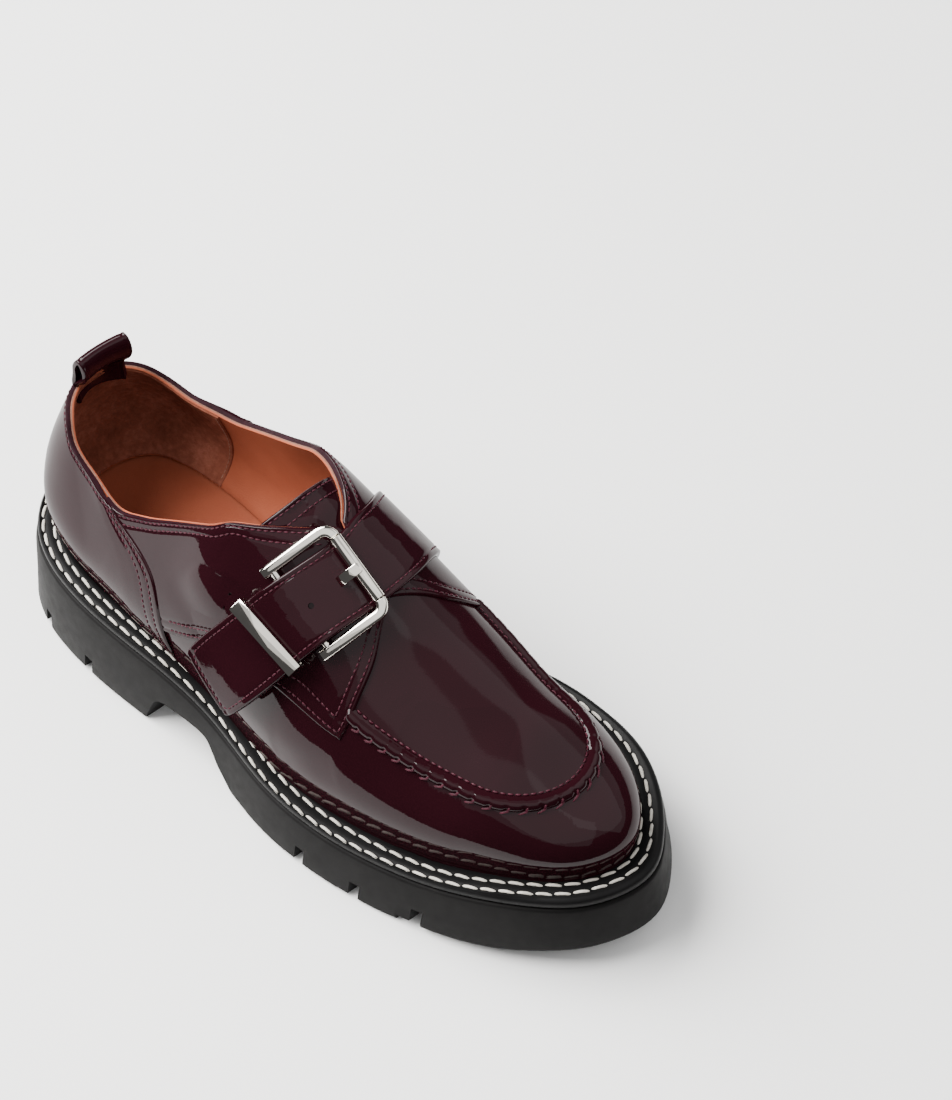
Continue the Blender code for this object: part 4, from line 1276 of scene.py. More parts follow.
def arch_cutter():
    """The hollow of the arch, from side to side under the waist."""
    outline = np.array([(along, height if height > 0 else -5.0) for along, height in ARCH])
    rounded = [outline[0]]
    for before, corner, after in zip(outline, outline[1:], outline[2:]):
        for t in (0.0, 0.25, 0.5, 0.75, 1.0):
            a = corner + (before - corner) * ARCH_ROUNDING
            b = corner + (after - corner) * ARCH_ROUNDING
            rounded.append((1 - t) ** 2 * a + 2 * t * (1 - t) * corner + t**2 * b)
    rounded.append(outline[-1])
    sides = (-CUTTER_REACH, CUTTER_REACH)
    rings = [turned([(x, across, z) for x, z in rounded], ARCH_TURN, ARCH[0, 0]) for across in sides]
    return loose_object("arch_cutter", np.concatenate(rings), between_ends(len(rounded)))


def make_outsole():
    """The lugged rubber sole under its flared wall."""

    def above_under(height):
        return lambda along: underside(along) + height

    def below_top(height):
        return lambda along: sole_top(along) - height

    pairs = [(share_of_reach(share), underside) for share in (0.0, 0.3, 0.6, 0.85)]
    pairs += [
        (past_reach(SOLE_FLARE - 1.8), underside),
        (past_reach(SOLE_FLARE - 1.2), above_under(0.06)),
        (past_reach(SOLE_FLARE - 0.5), above_under(0.42)),
        (past_reach(SOLE_FLARE - 0.1), above_under(1.1)),
        (past_reach(SOLE_FLARE + 0.0), above_under(2.0)),
        (past_reach(2.6), lambda along: 0.5 * underside(along) + 0.5 * sole_top(along) - 2.0),
        (past_reach(1.6), below_top(5.0)),
        (past_reach(1.15), below_top(3.0)),
        (past_reach(0.9), below_top(1.5)),
        (past_reach(0.7), below_top(0.8)),
        (past_reach(0.3), below_top(0.35)),
        (past_reach(-0.3), below_top(0.1)),
        (past_reach(-1.2), sole_top),
    ]
    pairs += [(share_of_reach(share), sole_top) for share in (0.8, 0.5, 0.0)]
    points, faces = ring_mesh(dense_rings(pairs))
    sole = loose_object("lugged_outsole", points, faces)
    cut_away(sole, arch_cutter(), *lug_cutters())
    bevel(sole, 0.00035, 42)
    finish_piece(sole, SOLE, "sole_rubber", 40.0, ("outsole",))


WELT_ROWS = (3.1, 6.9)  # the two rows of stitches, in from the edge
WELT_THREAD = (6.4, 6.2, 0.58)  # pitch, length and radius of a stitch
ROW_SHIFT_OUTER = (  # along, how much further in the rows run there
    (0.0, -0.6),
    (25.0, -1.2),
    (130.0, -1.1),
    (205.0, -1.6),
    (228.0, -1.4),
    (246.0, 0.0),
    (268.0, 1.6),
)
ROW_SHIFT_INNER = ((0.0, -0.6), (30.0, 0.0), (150.0, 0.4), (220.0, 1.0), (244.0, 1.4), (268.0, 1.6))


def bell(value, middle, width):
    return math.exp(-(((value - middle) / width) ** 2))


def welt_row(inward):
    """Distance out to a line this far in from the edge, with the bow of the stitch rows."""

    def distance(rib):
        shift = np.array(ROW_SHIFT_OUTER if rib.side < 0 else ROW_SHIFT_INNER)
        share = min(1.0, inward / WELT_ROWS[0])
        spread = 0.9 * bell(rib.along, 165.0, 45.0) if rib.side < 0 else 0.0
        spread *= 1 - abs(inward - WELT_ROWS[0]) / 4.0 if abs(inward - WELT_ROWS[0]) < 4.0 else 0.0
        return rib.reach - inward - share * float(np.interp(rib.along, shift[:, 0], shift[:, 1])) + spread

    return distance


def welt_height(inward):
    """Height of the welt's top over the sole, with a shallow channel under each row."""
    height = WELT_THICKNESS + 0.3 * math.exp(-((inward - 1.1) ** 2) / 0.8)
    for row in WELT_ROWS:
        height -= 0.25 * math.exp(-(((inward - row) / 0.9) ** 2))
    return height


def make_welt():
    """The rubber bead and stitching shelf round the upper."""
    bead = [(-0.9, 0.4), (-0.35, 0.55), (0.05, 1.1), (0.18, 1.9), (0.18, 2.8), (0.02, 3.5), (-0.3, 4.05), (-0.7, 4.4)]
    pairs = [(past_reach(extra), lambda along, h=height: sole_top(along) + h) for extra, height in bead]
    for inward in (1.1, 1.6, 2.1, 2.5, 2.8, 3.1, 3.4, 3.7, 4.1, 4.6, 5.2, 5.8, 6.2, 6.5, 6.9, 7.3, 7.6, 8.0):
        pairs.append((welt_row(inward), lambda along, h=welt_height(inward): sole_top(along) + h))
    pairs += [
        (lambda rib: feather(rib) + 0.7, lambda along: sole_top(along) + WELT_THICKNESS - 0.1),
        (lambda rib: feather(rib) + 0.1, lambda along: sole_top(along) + WELT_THICKNESS - 0.8),
        (lambda rib: feather(rib) - 0.6, lambda along: sole_top(along) + WELT_THICKNESS - 2.2),
        (lambda rib: feather(rib) - 0.6, lambda along: sole_top(along) + SEAT_GAP),
    ]
    points, faces = ring_mesh(dense_rings(pairs), closed=True)
    new_piece("stitched_welt", points, faces, WELT, "welt_rubber", 50.0, ("welt",))


def make_welt_stitches():
    template = one_stitch(8, 7)
    parts = []
    for inward in WELT_ROWS:
        height = welt_height(inward)
        path = dense_rings([(welt_row(inward), lambda along, h=height: sole_top(along) + h)])[0]
        path = even_points(np.concatenate((path, path[:1])), 0.8)
        normals = np.tile((0.0, 0.0, 1.0), (len(path), 1))
        parts.append(stitch_row(template, path, normals, *WELT_THREAD, slant=-0.09, lift=0.6))
    new_piece("welt_stitches", *joined(parts), CREAM, "welt_rubber")


INSOLE_GAP = 0.5  # between the insole and the wall


def make_insole():
    """The leather insole, dished in the middle."""

    def inside(inward):
        return lambda rib: feather(rib) - WALL - INSOLE_GAP - inward

    def over(height):
        return lambda along: sole_top(along) + SEAT_GAP + height

    def spread(share):
        return lambda rib: share * (feather(rib) - WALL - INSOLE_GAP)

    rows = [(0.0, 0.0), (0.0, 1.7), (0.25, 2.4), (0.8, 2.8), (1.6, 2.95), (3.0, 3.0)]
    pairs = [(spread(0.0), over(0.0)), (spread(0.5), over(0.0))]
    pairs += [(inside(inward), over(height)) for inward, height in rows]
    pairs += [(spread(share), over(3.0 - 1.1 * (1 - share**2))) for share in (0.85, 0.7, 0.55, 0.4, 0.25, 0.1, 0.0)]
    points, faces = ring_mesh(dense_rings(pairs))
    new_piece("leather_insole", points, faces, LINING, "lining_leather", 50.0, ("insole",))


# ---- Upper


def rim_places(first, last, count=200):
    """(column, share) places along the topline between two columns."""
    columns = np.linspace(first, last, count)
    shares = softened([rim_share(column) for column in columns], 2)
    return np.column_stack((columns, shares))


def share_at_height(along, side, height):
    """The share up a side at which it has this height."""
    shares = np.linspace(0, 2, 241)
    points, _ = round_way(side_column(along, side), shares)
    top = int(np.argmax(points[:, 2]))
    return float(np.interp(height, points[: top + 1, 2], shares[: top + 1]))


def side_places(points, side):
    """(column, share) places of (along, height) points on one side."""
    return np.array([(side_column(along, side), share_at_height(along, side, height)) for along, height in points])


def turn_places(points, side):
    """(along, turn) places of (along, height) points on one side."""
    return [(along, side * (2 - share_at_height(along, side, height))) for along, height in points]


def feather_places(first, last, share=-0.06, count=60):
    """(column, share) places just below the feather between two columns."""
    return np.column_stack((np.linspace(first, last, count), np.full(count, share)))


# the plan grid of the toe's top: from, to, step
CROWN_ALONG = (126.0, 268.0, 1.5)
CROWN_ACROSS = (-48.0, 54.0, 1.5)


def crown_grid():
    """Heights of the top of the last over a plan grid, across the toe as well."""
    alongs = np.arange(*CROWN_ALONG)
    acrosses = np.arange(*CROWN_ACROSS)
    heights = np.zeros((len(alongs), len(acrosses)))
    turns = np.linspace(-1.7, 1.7, 241)
    for i, along in enumerate(alongs[alongs <= TOE_POINT[0]]):
        points, _ = over_top(along, turns)
        order = np.argsort(points[:, 1])
        heights[i] = np.interp(acrosses, points[order, 1], points[order, 2])
    radii = np.linspace(0, 60, 121)
    shares = np.linspace(2, 0.35, 160)
    fan = []
    columns = np.arange(FAN + SIDES, FAN + SIDES + 2 * TOE_FAN + 1)
    for column in columns:
        points, _ = round_way(column, shares)
        fan.append(np.interp(radii, np.linalg.norm(points[:, :2] - TOE_POINT, axis=1), points[:, 2]))
    fan = np.array(fan)
    ahead = np.flatnonzero(alongs > TOE_POINT[0])
    x, y = np.meshgrid(alongs[ahead] - TOE_POINT[0], acrosses - TOE_POINT[1], indexing="ij")
    turn = (np.degrees(np.arctan2(y, x)) + 90) / 90 * TOE_FAN
    low = np.clip(np.floor(turn).astype(int), 0, 2 * TOE_FAN - 1)
    away = np.clip(np.hypot(x, y) / 0.5, 0, 119.99)
    near = away.astype(int)
    share = (away - near)[..., None]
    pair = [fan[low + k, near] * (1 - share[..., 0]) + fan[low + k, near + 1] * share[..., 0] for k in (0, 1)]
    heights[ahead] = pair[0] * (1 - (turn - low)) + pair[1] * (turn - low)
    heights = softened(heights, 12)
    heights = softened(heights.T, 12).T
    x, y = np.meshgrid(alongs, acrosses, indexing="ij")
    return np.stack((x, y, heights), axis=-1)


CROWN = crown_grid()


def over_crown(along, across):
    """Points and outward normals of the top of the last over a place seen from above."""
    first = (np.asarray(along, float) - CROWN_ALONG[0]) / CROWN_ALONG[2]
    second = (np.asarray(across, float) - CROWN_ACROSS[0]) / CROWN_ACROSS[2]
    return over_grid(CROWN, first, second)


SADDLE = 150.0  # the apron, vamp and ridge run this far back, under the quarters
RIDGE_PITCH = 5.8
APRON_THREAD = (2.6, 2.1, 0.33)  # pitch, length and radius of a stitch
PANEL_THREAD = (2.35, 2.0, 0.30)
LINING_THREAD = (2.2, 1.8, 0.24)


def sew(name, panel, rows, height, thread=THREAD, sizes=PANEL_THREAD, slot="patent_leather"):
    """Rows of stitches over a panel, as one piece."""
    template = one_stitch(6, 5)
    parts = [stitch_row(template, *panel_row(panel, row, height), *sizes) for row in rows]
    new_piece(name, *joined(parts), thread, slot)


def ridge_path(step=0.6):
    """Columns of the last along the apron's ridge, evenly spaced along it, and the distance along."""
    columns = np.linspace(side_column(SADDLE, -1), side_column(SADDLE, 1), 1200)
    points, _ = round_way(columns, 1.0)
    at = lengths_along(points)
    where = np.linspace(0, at[-1], int(at[-1] / step))
    return np.interp(where, at, columns), where


def on_ridge(columns, outward, height):
    """Points this far outward from the ridge's middle line, over the last."""
    upward = round_way(columns, 1.02)[0] - round_way(columns, 0.98)[0]
    per_share = np.linalg.norm(upward, axis=-1) / 0.04
    points, normals = round_way(columns, 1.0 - outward / per_share)
    return points + normals * np.asarray(height)[..., None], normals


QUARTER_FRONT = 171.6  # where the outer quarter's front crosses the ridge
INNER_FRONT_SHIFT = 1.2  # and how much nearer the toe the inner one does
RIDGE_RISE = 1.8


def past_quarters(columns):
    """How far the ridge has come out from under the quarters' fronts, 0 to 1."""
    points, _ = round_way(columns, 1.0)
    return np.clip((points[:, 0] - QUARTER_FRONT - INNER_FRONT_SHIFT * (points[:, 1] > 0)) / RIDGE_RISE, 0, 1)


APRON_INWARD = 0.6  # how far inside the ridge's middle line the apron ends
# a crease: from, to, width and depth
APRON_CREASES = (
    ((176, -8, 86), (183, 22, 82), 9.0, 0.5),
    ((192, -18, 74), (200, 20, 76), 12.0, -0.35),
    ((168, -18, 84), (186, -20, 76), 6.0, 0.3),
)


def make_apron():
    """The smooth top of the toe, inside the ridge."""
    columns, _ = ridge_path(1.5)
    edge = on_ridge(columns, np.full(len(columns), -APRON_INWARD), np.zeros(len(columns)))[0][:, :2]
    at = lengths_along(edge)
    split = [np.searchsorted(at, at[-1] * share) for share in (0.41, 0.59)]
    low = edge[: split[0] + 1]
    front = edge[split[0] : split[1] + 1]
    high = edge[split[1] :][::-1]
    back = np.array((edge[0], edge[-1]))
    panel = Panel(over_crown, low, front, high, back, 1.4)
    make_panel("apron", panel, 0.0, -1.2, APRON_PATENT, "patent_leather", creases(*APRON_CREASES), 0.8)


RIDGE_SECTION = (  # outward from its middle line, height
    (-3.5, -0.9),
    (-3.2, -0.25),
    (-2.9, 0.15),
    (-2.45, 0.62),
    (-1.9, 1.1),
    (-1.2, 1.52),
    (-0.4, 1.78),
    (0.4, 1.82),
    (1.1, 1.62),
    (1.7, 1.25),
    (2.15, 0.75),
    (2.45, 0.2),
    (2.6, -0.9),
)
PINCH_WIDTH = 0.7
PINCH_DOWN = (0.45, 0.08)  # on its outer side, and all over
PINCH_IN = 0.25
SUNK_RIDGE = 0.15  # its height where it goes under the quarters


def make_ridge():
    """The rolled seam round the apron, pinched at each stitch."""
    columns, at = ridge_path()
    pinch = np.exp(-(((at % RIDGE_PITCH) - RIDGE_PITCH / 2) / PINCH_WIDTH) ** 2)
    out = past_quarters(columns)
    rows = []
    for outward, height in RIDGE_SECTION:
        side = 1 / (1 + math.exp(-(outward - 0.8) * 3))
        drawn = height - (PINCH_DOWN[0] * side + PINCH_DOWN[1]) * pinch * (1 if height > 0 else 0)
        drawn = np.where(drawn > 0, SUNK_RIDGE + (drawn - SUNK_RIDGE) * out, drawn)
        rows.append(on_ridge(columns, outward - PINCH_IN * side * pinch, drawn)[0])
    count = len(columns)
    faces = grid_faces(len(rows), count, closed_rows=True)
    faces += [range(k, len(rows) * count, count) for k in (0, count - 1)]
    new_piece("apron_ridge", np.concatenate(rows), faces, PATENT, "patent_leather")


def make_ridge_stitches():
    """Slanted stitches over the outer side of the ridge, and a fine row along its inner side."""
    columns, at = ridge_path()
    template = one_stitch(6, 7)
    parts = []
    for i in range(int(at[-1] / RIDGE_PITCH)):
        middle = (i + 0.5) * RIDGE_PITCH
        if past_quarters(np.interp([middle - 1.9, middle + 1.5], at, columns)).min() < 1:
            continue
        for first, last, start, end in ((-1.9, 1.5, 3.3, 2.1), (0.2, 1.3, 2.9, 0.9)):
            share = np.linspace(0, 1, 9)
            column = np.interp(middle + first + (last - first) * share, at, columns)
            outward = start + (end - start) * share
            over = np.interp(outward, (0.9, 1.6, 2.3, 2.9, 3.6), (1.5, 1.1, 0.55, 0.30, 0.12))
            path, normals = on_ridge(column, outward, over)
            parts.append(stitch_row(template, path, normals, 9.0, lengths_along(path)[-1], 0.42, lift=0.3))
    new_piece("ridge_stitches", *joined(parts), THREAD, "patent_leather")
    path, normals = on_ridge(columns, np.full(len(columns), -3.5), np.full(len(columns), 0.02))
    new_piece("apron_stitches", *stitch_row(template, path, normals, *APRON_THREAD), THREAD, "patent_leather")


VAMP_CREASES = (
    ((150, -43, 40), (176, -42, 52), 7.0, 0.7),
    ((120, -36, 44), (150, -42, 50), 6.0, -0.4),
    ((226, -36, 40), (246, -26, 48), 6.0, 0.35),
)


def vamp_creases(points):
    """Fine gathers over the welt and below the ridge, and soft creases along the sides."""
    above = points[..., 2] - sole_top(points[..., 0].ravel()).reshape(points.shape[:-1]) - WELT_THICKNESS
    turn = np.arctan2(points[..., 1] - 3.0, points[..., 0] - 190.0)
    fine = np.sin(turn * 90 + 3 * np.sin(turn * 17)) + 0.6 * np.sin(turn * 141 + 1.3)
    height = 0.10 * fine * np.exp(-np.clip(above, 0, None) / 3.0) * np.clip(np.cos(turn) + 0.5, 0, 1)
    height += (1.0 - 0.3 * np.tanh(points[..., 1] / 20)) * np.clip(1 - above / 10, 0, 1) ** 2
    drift = 1.4 * np.sin(points[..., 0] / 9) + 0.9 * np.sin(points[..., 0] / 3.7 + points[..., 1] / 5)
    height += 0.11 * np.sin(above * 2.7 + drift) * np.exp(-np.clip(above, 0, None) / 4.0)
    for crease in VAMP_CREASES:
        height += trough(points, *crease)
    return height


VAMP_TOP = ((84, 0.78), (112, 0.72), (130, 0.80), (152, 0.98), (166, 1.01))  # along, share up the side


def make_vamp():
    """The patent round the toe and along the sides, from the welt up to the ridge."""
    low = feather_places(side_column(VAMP_TOP[0][0], -1), side_column(VAMP_TOP[0][0], 1))
    outer, inner = ([(side_column(along, side), share) for along, share in VAMP_TOP] for side in (-1, 1))
    round_toe = np.linspace(outer[-1][0], inner[-1][0], 40)[1:-1]
    high = outer + [(column, VAMP_TOP[-1][1]) for column in round_toe] + inner[::-1]
    panel = Panel(round_way, low, [low[-1], high[-1]], high, [low[0], high[0]], 1.3)
    make_panel("vamp", panel, 0.0, -1.15, PATENT, "patent_leather", vamp_creases, 0.5, replaces=("upper",))


# the quarters' edges, as along and height up the side
QUARTER_LOW = (
    (85.0, 48.5),
    (90.9, 50.9),
    (98.0, 54.5),
    (106.1, 59.1),
    (115.0, 65.5),
    (124.9, 69.0),
    (134.0, 69.3),
    (144.0, 68.5),
    (158.0, 66.0),
    (167.0, 63.8),
)
BACK_EDGE = ((81.5, 60.0), (76.0, 69.0), (66.0, 74.0))
# and their fronts, as points of the shoe from the lower tip up to the spine
FRONT_OUTER = (
    (174.6, -36.5, 62.0),
    (174.9, -33, 67.5),
    (174.4, -29, 73),
    (173.6, -24, 77.5),
    (171.6, -16, 84.6),
    (169, -11, 89),
    (166.5, -6, 92.5),
    (163.5, 0, 96.0),
)
FRONT_INNER = (
    (175.2, 34.5, 62.0),
    (176.6, 30, 71),
    (176.4, 26, 79),
    (175, 22, 83),
    (172.6, 17, 88),
    (170, 12.6, 91),
    (166.5, 6, 93.5),
    (163.5, 0, 96.0),
)
# rows of stitches, in from the rim, and in from the low edge and the front
RIM_ROWS = (2.0, 6.3)
EDGE_ROWS = (2.1, 6.0)
QUARTER_CREASES = {
    1: (((120, 34, 76), (150, 30, 92), 8.0, 0.5),),
    -1: (
        ((92, -36, 78), (122, -38, 60), 6.5, 0.6),
        ((119, -28, 94), (119, -40, 58), 14.0, 1.3),
        ((100, -32, 88), (118, -33, 80), 7.0, -0.6),
        ((138, -34, 84), (163, -36, 68), 6.0, 0.6),
    ),
}


def quarter_sides(side):
    """The four edges of a quarter, as (along, turn) places."""
    front = flowing_path(turns_at(FRONT_OUTER if side < 0 else FRONT_INNER))
    low = flowing_path(turn_places(QUARTER_LOW, side) + [front[0]])
    rim = [(along, side * (2 - rim_share(side_column(along, side)))) for along in np.linspace(52.0, 137.5, 80)]
    rim = np.array(rim)
    rim[:, 1] = softened(rim[:, 1], 3)
    high = np.concatenate((rim, [(141.5, 0.0), (150.0, 0.0), front[-1]]))
    back = flowing_path([low[0]] + turn_places(BACK_EDGE, side) + [high[0]])
    return low, front, high, back


def flowing_path(points, count=60):
    """A smooth path through places, with its corners only at its ends."""
    points = np.asarray(points, float)
    at = lengths_along(points * np.array((1.0, 40.0)))
    run = np.gradient(points, at, axis=0)
    return flowing_curve(at, points, (run[0], run[-1]))(np.linspace(0, at[-1], count))


def make_quarter(side, name):
    """One side of the shoe's opening, from the back panel to its front under the buckle."""
    panel = Panel(over_top, *quarter_sides(side), 1.4)

    def underneath(u, v):
        up = np.clip((v - 0.55) / 0.35, 0, 1) * np.clip((0.72 - u) / 0.12, 0, 1)
        return 0.05 - 1.12 * up

    grooves = [(0, d, 0.22, 0.55) for d in EDGE_ROWS] + [(1, d, 0.22, 0.55) for d in EDGE_ROWS]
    grooves += [(2, d, 0.22, 0.6) for d in RIM_ROWS]
    shape = creases(*QUARTER_CREASES[side])
    piece = make_panel(name, panel, 1.0, underneath, (PATENT, CUT_EDGE), "patent_leather", shape, 0.85, grooves)
    paint_top_edge(piece, panel, -0.5)
    rows = []
    for d in EDGE_ROWS:
        corner = (panel.across - d, d)
        rows.append([(12.0, d), corner])
        rows.append([corner, (panel.across - d, panel.up - 4.0)])
    for d in RIM_ROWS:
        rows.append([(6.0, panel.up - d), (panel.across * 0.74, panel.up - d)])
    sew(name + "_stitches", panel, rows, 0.86)


# the back panel's front edges, as along and height up the side
PANEL_FRONT_OUTER = ((95.0, 33.3), (92.0, 44.0), (90.0, 52.0), (87.0, 64.5), (83.0, 71.8), (76.0, 76.0), (67.0, 78.6))
PANEL_FRONT_INNER = ((98.5, 33.3), (96.5, 45.0), (94.5, 56.0), (91.5, 66.0), (87.0, 73.0), (80.0, 78.5), (73.0, 81.6))


BACK_ROWS = (3.0, 6.8)  # rows of stitches, in from its front edges
BACK_RIM_ROW = 2.8


def back_panel():
    """The sheet round the heel, its columns counted back past the middle of the heel."""
    outer = side_places(PANEL_FRONT_OUTER, -1)
    inner = side_places(PANEL_FRONT_INNER, 1) - (COLUMNS, 0)
    rim = rim_places(side_column(57.0, -1), side_column(65.0, 1) - COLUMNS)
    back = flowing_path(np.concatenate(([(outer[0, 0], -0.06)], outer[1:], rim[:1])))
    front = flowing_path(np.concatenate(([(inner[0, 0], -0.06)], inner[1:], rim[-1:])))
    low = feather_places(back[0, 0], front[0, 0])
    return Panel(round_way, low, front, rim, back, 1.5)


def heel_creases(points):
    """Fine gathers over the welt and one soft crease."""
    above = points[..., 2] - 37.0
    turn = np.arctan2(points[..., 1] - 1.0, points[..., 0] - 60.0)
    fine = np.sin(turn * 61) + 0.7 * np.sin(turn * 97 + 2)
    height = 0.12 * fine * np.exp(-np.clip(above, 0, None) / 4.5)
    height += trough(points, (12, -20, 70), (60, -38, 62), 9.0, 0.5)
    return height


def make_back_panel():
    """The patent round the heel, standing over the quarters at its front edges."""
    panel = back_panel()

    def underneath(u, v):
        up = np.clip((v - 0.6) / 0.3, 0, 1)
        inside = np.clip(np.minimum(u, 1 - u) * panel.across / 12 - 0.4, 0, 1)
        return 0.75 * (1 - inside) + inside * 0.05 - 1.1 * up * inside - 0.7 * up * (1 - inside)

    def outside(u, v):
        over_seam = np.clip(1.6 - np.minimum(u, 1 - u) * panel.across / 25.0, 0.25, 1)
        return 0.3 + 1.3 * over_seam * np.clip(v * panel.up / 16.0, 0, 1) ** 0.7

    grooves = [(side, d, 0.2, 0.5) for d in BACK_ROWS for side in (1, 3)] + [(2, BACK_RIM_ROW, 0.2, 0.6)]
    finish = ((PATENT, CUT_EDGE), "patent_leather")
    piece = make_panel("back_panel", panel, outside, underneath, *finish, heel_creases, 0.8, grooves)
    paint_top_edge(piece, panel, -0.3)
    rows = [[(at, 2.0), (at, panel.up - 1.2)] for d in BACK_ROWS for at in (d, panel.across - d)]
    rows.append([(1.5, panel.up - BACK_RIM_ROW), (panel.across - 1.5, panel.up - BACK_RIM_ROW)])
    sew("back_panel_stitches", panel, rows, lambda u, v: outside(u, v) - 0.14)


def padding(share):
    """How much further in the lining stands low down, where it rounds into the insole."""
    return 4.0 * np.clip(1 - share / 0.35, 0, 1) ** 2


LINING_BACK = 1.1  # how far in from the last the lining's two faces lie
LINING_FACE = 2.3
RIM_PROUD = 0.25  # how far its edge stands over the topline
RIM_TUCKED = -0.5  # and how far under it on the outer side
STRIP_REACH = 0.0003  # metres


def make_lining():
    """The tan lining all round the inside, with its raw edge at the topline."""
    columns = np.arange(COLUMNS, dtype=float)
    top = softened([rim_share(column) for column in columns], 2, closed=True)
    top[top > 1.985] = 2.0
    rows = np.concatenate((np.linspace(0, 0.94, 30), (0.97, 1.0)))
    shares = -0.03 + (top[:, None] + 0.03) * rows
    points, normals = round_way(columns[:, None] + 0 * shares, shares)
    flat = shares > 1.93
    normals[flat] = (0.0, 0.0, 1.0)
    inner = points - normals * (LINING_FACE + padding(shares))[..., None]
    outer = points - normals * LINING_BACK
    rim = 0.5 * (inner[:, -1:] + outer[:, -1:])
    proud = np.where(top < 1.98, RIM_PROUD, 0.0)
    tucked = (columns > side_column(58.0, -1)) & (columns < side_column(140.0, -1))
    rim[..., 2] += np.where(tucked, RIM_TUCKED, proud)[:, None]
    stack = np.concatenate((outer, rim, inner[:, ::-1]), axis=1)
    count = stack.shape[1]
    faces = grid_faces(COLUMNS, count, closed_rows=True, closed_columns=True)
    piece = loose_object("tan_lining", stack.reshape(-1, 3), faces)
    finish_piece(piece, (LINING, RAW_EDGE), "lining_leather", 50.0)
    strip = outer[:, -1] + rim[:, 0]
    strip = in_frame(0.25 * (strip + np.roll(strip, -1, axis=0)))[top < 1.98]
    for face in piece.data.polygons:
        centre = np.array(face.center)
        if centre[2] > 0.075 and np.min(np.linalg.norm(strip - centre, axis=1)) < STRIP_REACH:
            face.material_index = 1


def make_heel_lining():
    """The suede round the inside of the heel, sewn down along its front edges."""
    first = side_column(56.0, -1)
    last = side_column(53.0, 1) - COLUMNS
    rim = rim_places(first, last)
    rim[:, 1] -= 0.012
    low = feather_places(first - 1.5, last + 1.5, -0.02)
    front = flowing_path([low[-1], (last + 0.6, 0.5), rim[-1]])
    back = flowing_path([low[0], (first - 0.6, 0.5), rim[0]])
    panel = Panel(round_way, low, front, rim, back, 1.6)

    def inside(u, v):
        return -2.95 - padding(v)

    make_panel("heel_lining", panel, inside, lambda u, v: inside(u, v) + 0.7, SUEDE, "lining_leather", None, 0.45)
    rows = [[(d, 3.0), (d, panel.up - 1.0)] for d in (1.4, panel.across - 1.4)]
    settings = (TAN_THREAD, LINING_THREAD, "lining_leather")
    sew("lining_stitches", panel, rows, lambda u, v: inside(u, v) - 0.05, *settings)


TONGUE_ROWS = (1.9, 6.4)  # rows of stitches, in from its top edge
TONGUE_CREASES = (((124, -8, 116), (126, 14, 114), 3.0, 0.8), ((130, -6, 114), (133, 12, 111), 3.0, -0.6))


def make_tongue():
    """The tongue, its top edge standing clear of the opening and its sides under the quarters."""
    low = np.array([(along, -1.12) for along in (114.0, 140.0, 166.0)])
    high = np.array([(along, 1.0) for along in (118.0, 142.0, 166.0)])
    back = flowing_path([(114.0, -1.12), (117.6, -0.75), (121.2, -0.42), (123.4, 0.0), (122.0, 0.5), (118.0, 1.0)])
    panel = Panel(over_top, low, [(166.0, -1.12), (166.0, 1.0)], high, back, 1.6)

    def outside(u, v):
        clear = np.clip(1 - u / 0.34, 0, 1) * np.clip((0.40 - np.abs(v - 0.5)) / 0.2, 0, 1)
        return -2.75 + 1.7 * clear

    def underneath(u, v):
        return outside(u, v) - 1.85

    grooves = [(3, d, 0.2, 0.5) for d in TONGUE_ROWS]
    shape = creases(*TONGUE_CREASES)
    finish = (CREASED_PATENT, "patent_leather")
    make_panel("tongue_leather", panel, outside, underneath, *finish, shape, 0.8, grooves, ("tongue",))
    rows = [[(d, 4.0), (d, panel.up - 4.0)] for d in TONGUE_ROWS]
    sew("tongue_stitches", panel, rows, lambda u, v: outside(u, v) - 0.1)


# ---- Strap, buckle and keeper

STRAP_STATIONS = 5  # grid columns for each row of the strap's table
STRAP_SHARES = 14
STRAP_ROW = 2.6  # its row of stitches, in from its edges
TIP_FREE_ROWS = 2.6  # below this row the strap runs straight on, clear of the quarter
TIP_STANDS_OFF = (7.0, -6.7, 13.6)
TIP_BEND = 1.75  # how late it bends away: 1 would be straight
SPARE_HOLE = (146.0, -19.0, 95.0)
SPARE_HOLE_RADIUS = 1.05
STRAP_CREASES = (
    ((158, 10, 106), (140, 14, 112), 3.0, 0.5),
    ((148, -20, 95), (140, -24, 97), 4.0, 0.25),
    ((150, 20, 104), (160, 24, 92), 5.0, -0.5),
)


def strap_grid():
    """Points of the strap's underside: its table's rows along it, its shares across it."""
    rows = []
    for at in np.linspace(0, len(STRAP) - 1, (len(STRAP) - 1) * STRAP_STATIONS + 1):
        upper_along, upper_girth, lower_along, lower_girth, lift = strap_curve(at)[0]
        share = np.linspace(0, 1, STRAP_SHARES + 1)
        along = (upper_along + (lower_along - upper_along) * share) / 100 * LENGTH
        girth = upper_girth + (lower_girth - upper_girth) * share
        turn = np.array([turn_of_girth(a, g) for a, g in zip(along, girth)])
        points, normals = over_top(along, np.sign(girth) * np.abs(turn))
        free = max(0.0, 1 - at / TIP_FREE_ROWS) ** TIP_BEND
        rows.append(points + normals * lift + np.array(TIP_STANDS_OFF) * free)
    return softened(np.array(rows), 3)


STRAP_GRID = strap_grid()


def over_strap(at, share):
    """Points and outward normals of the strap's underside, by table row and share across."""
    row, column = np.asarray(at, float) * STRAP_STATIONS, np.asarray(share, float) * STRAP_SHARES
    points, normals = over_grid(STRAP_GRID, row, column)
    return points, -normals


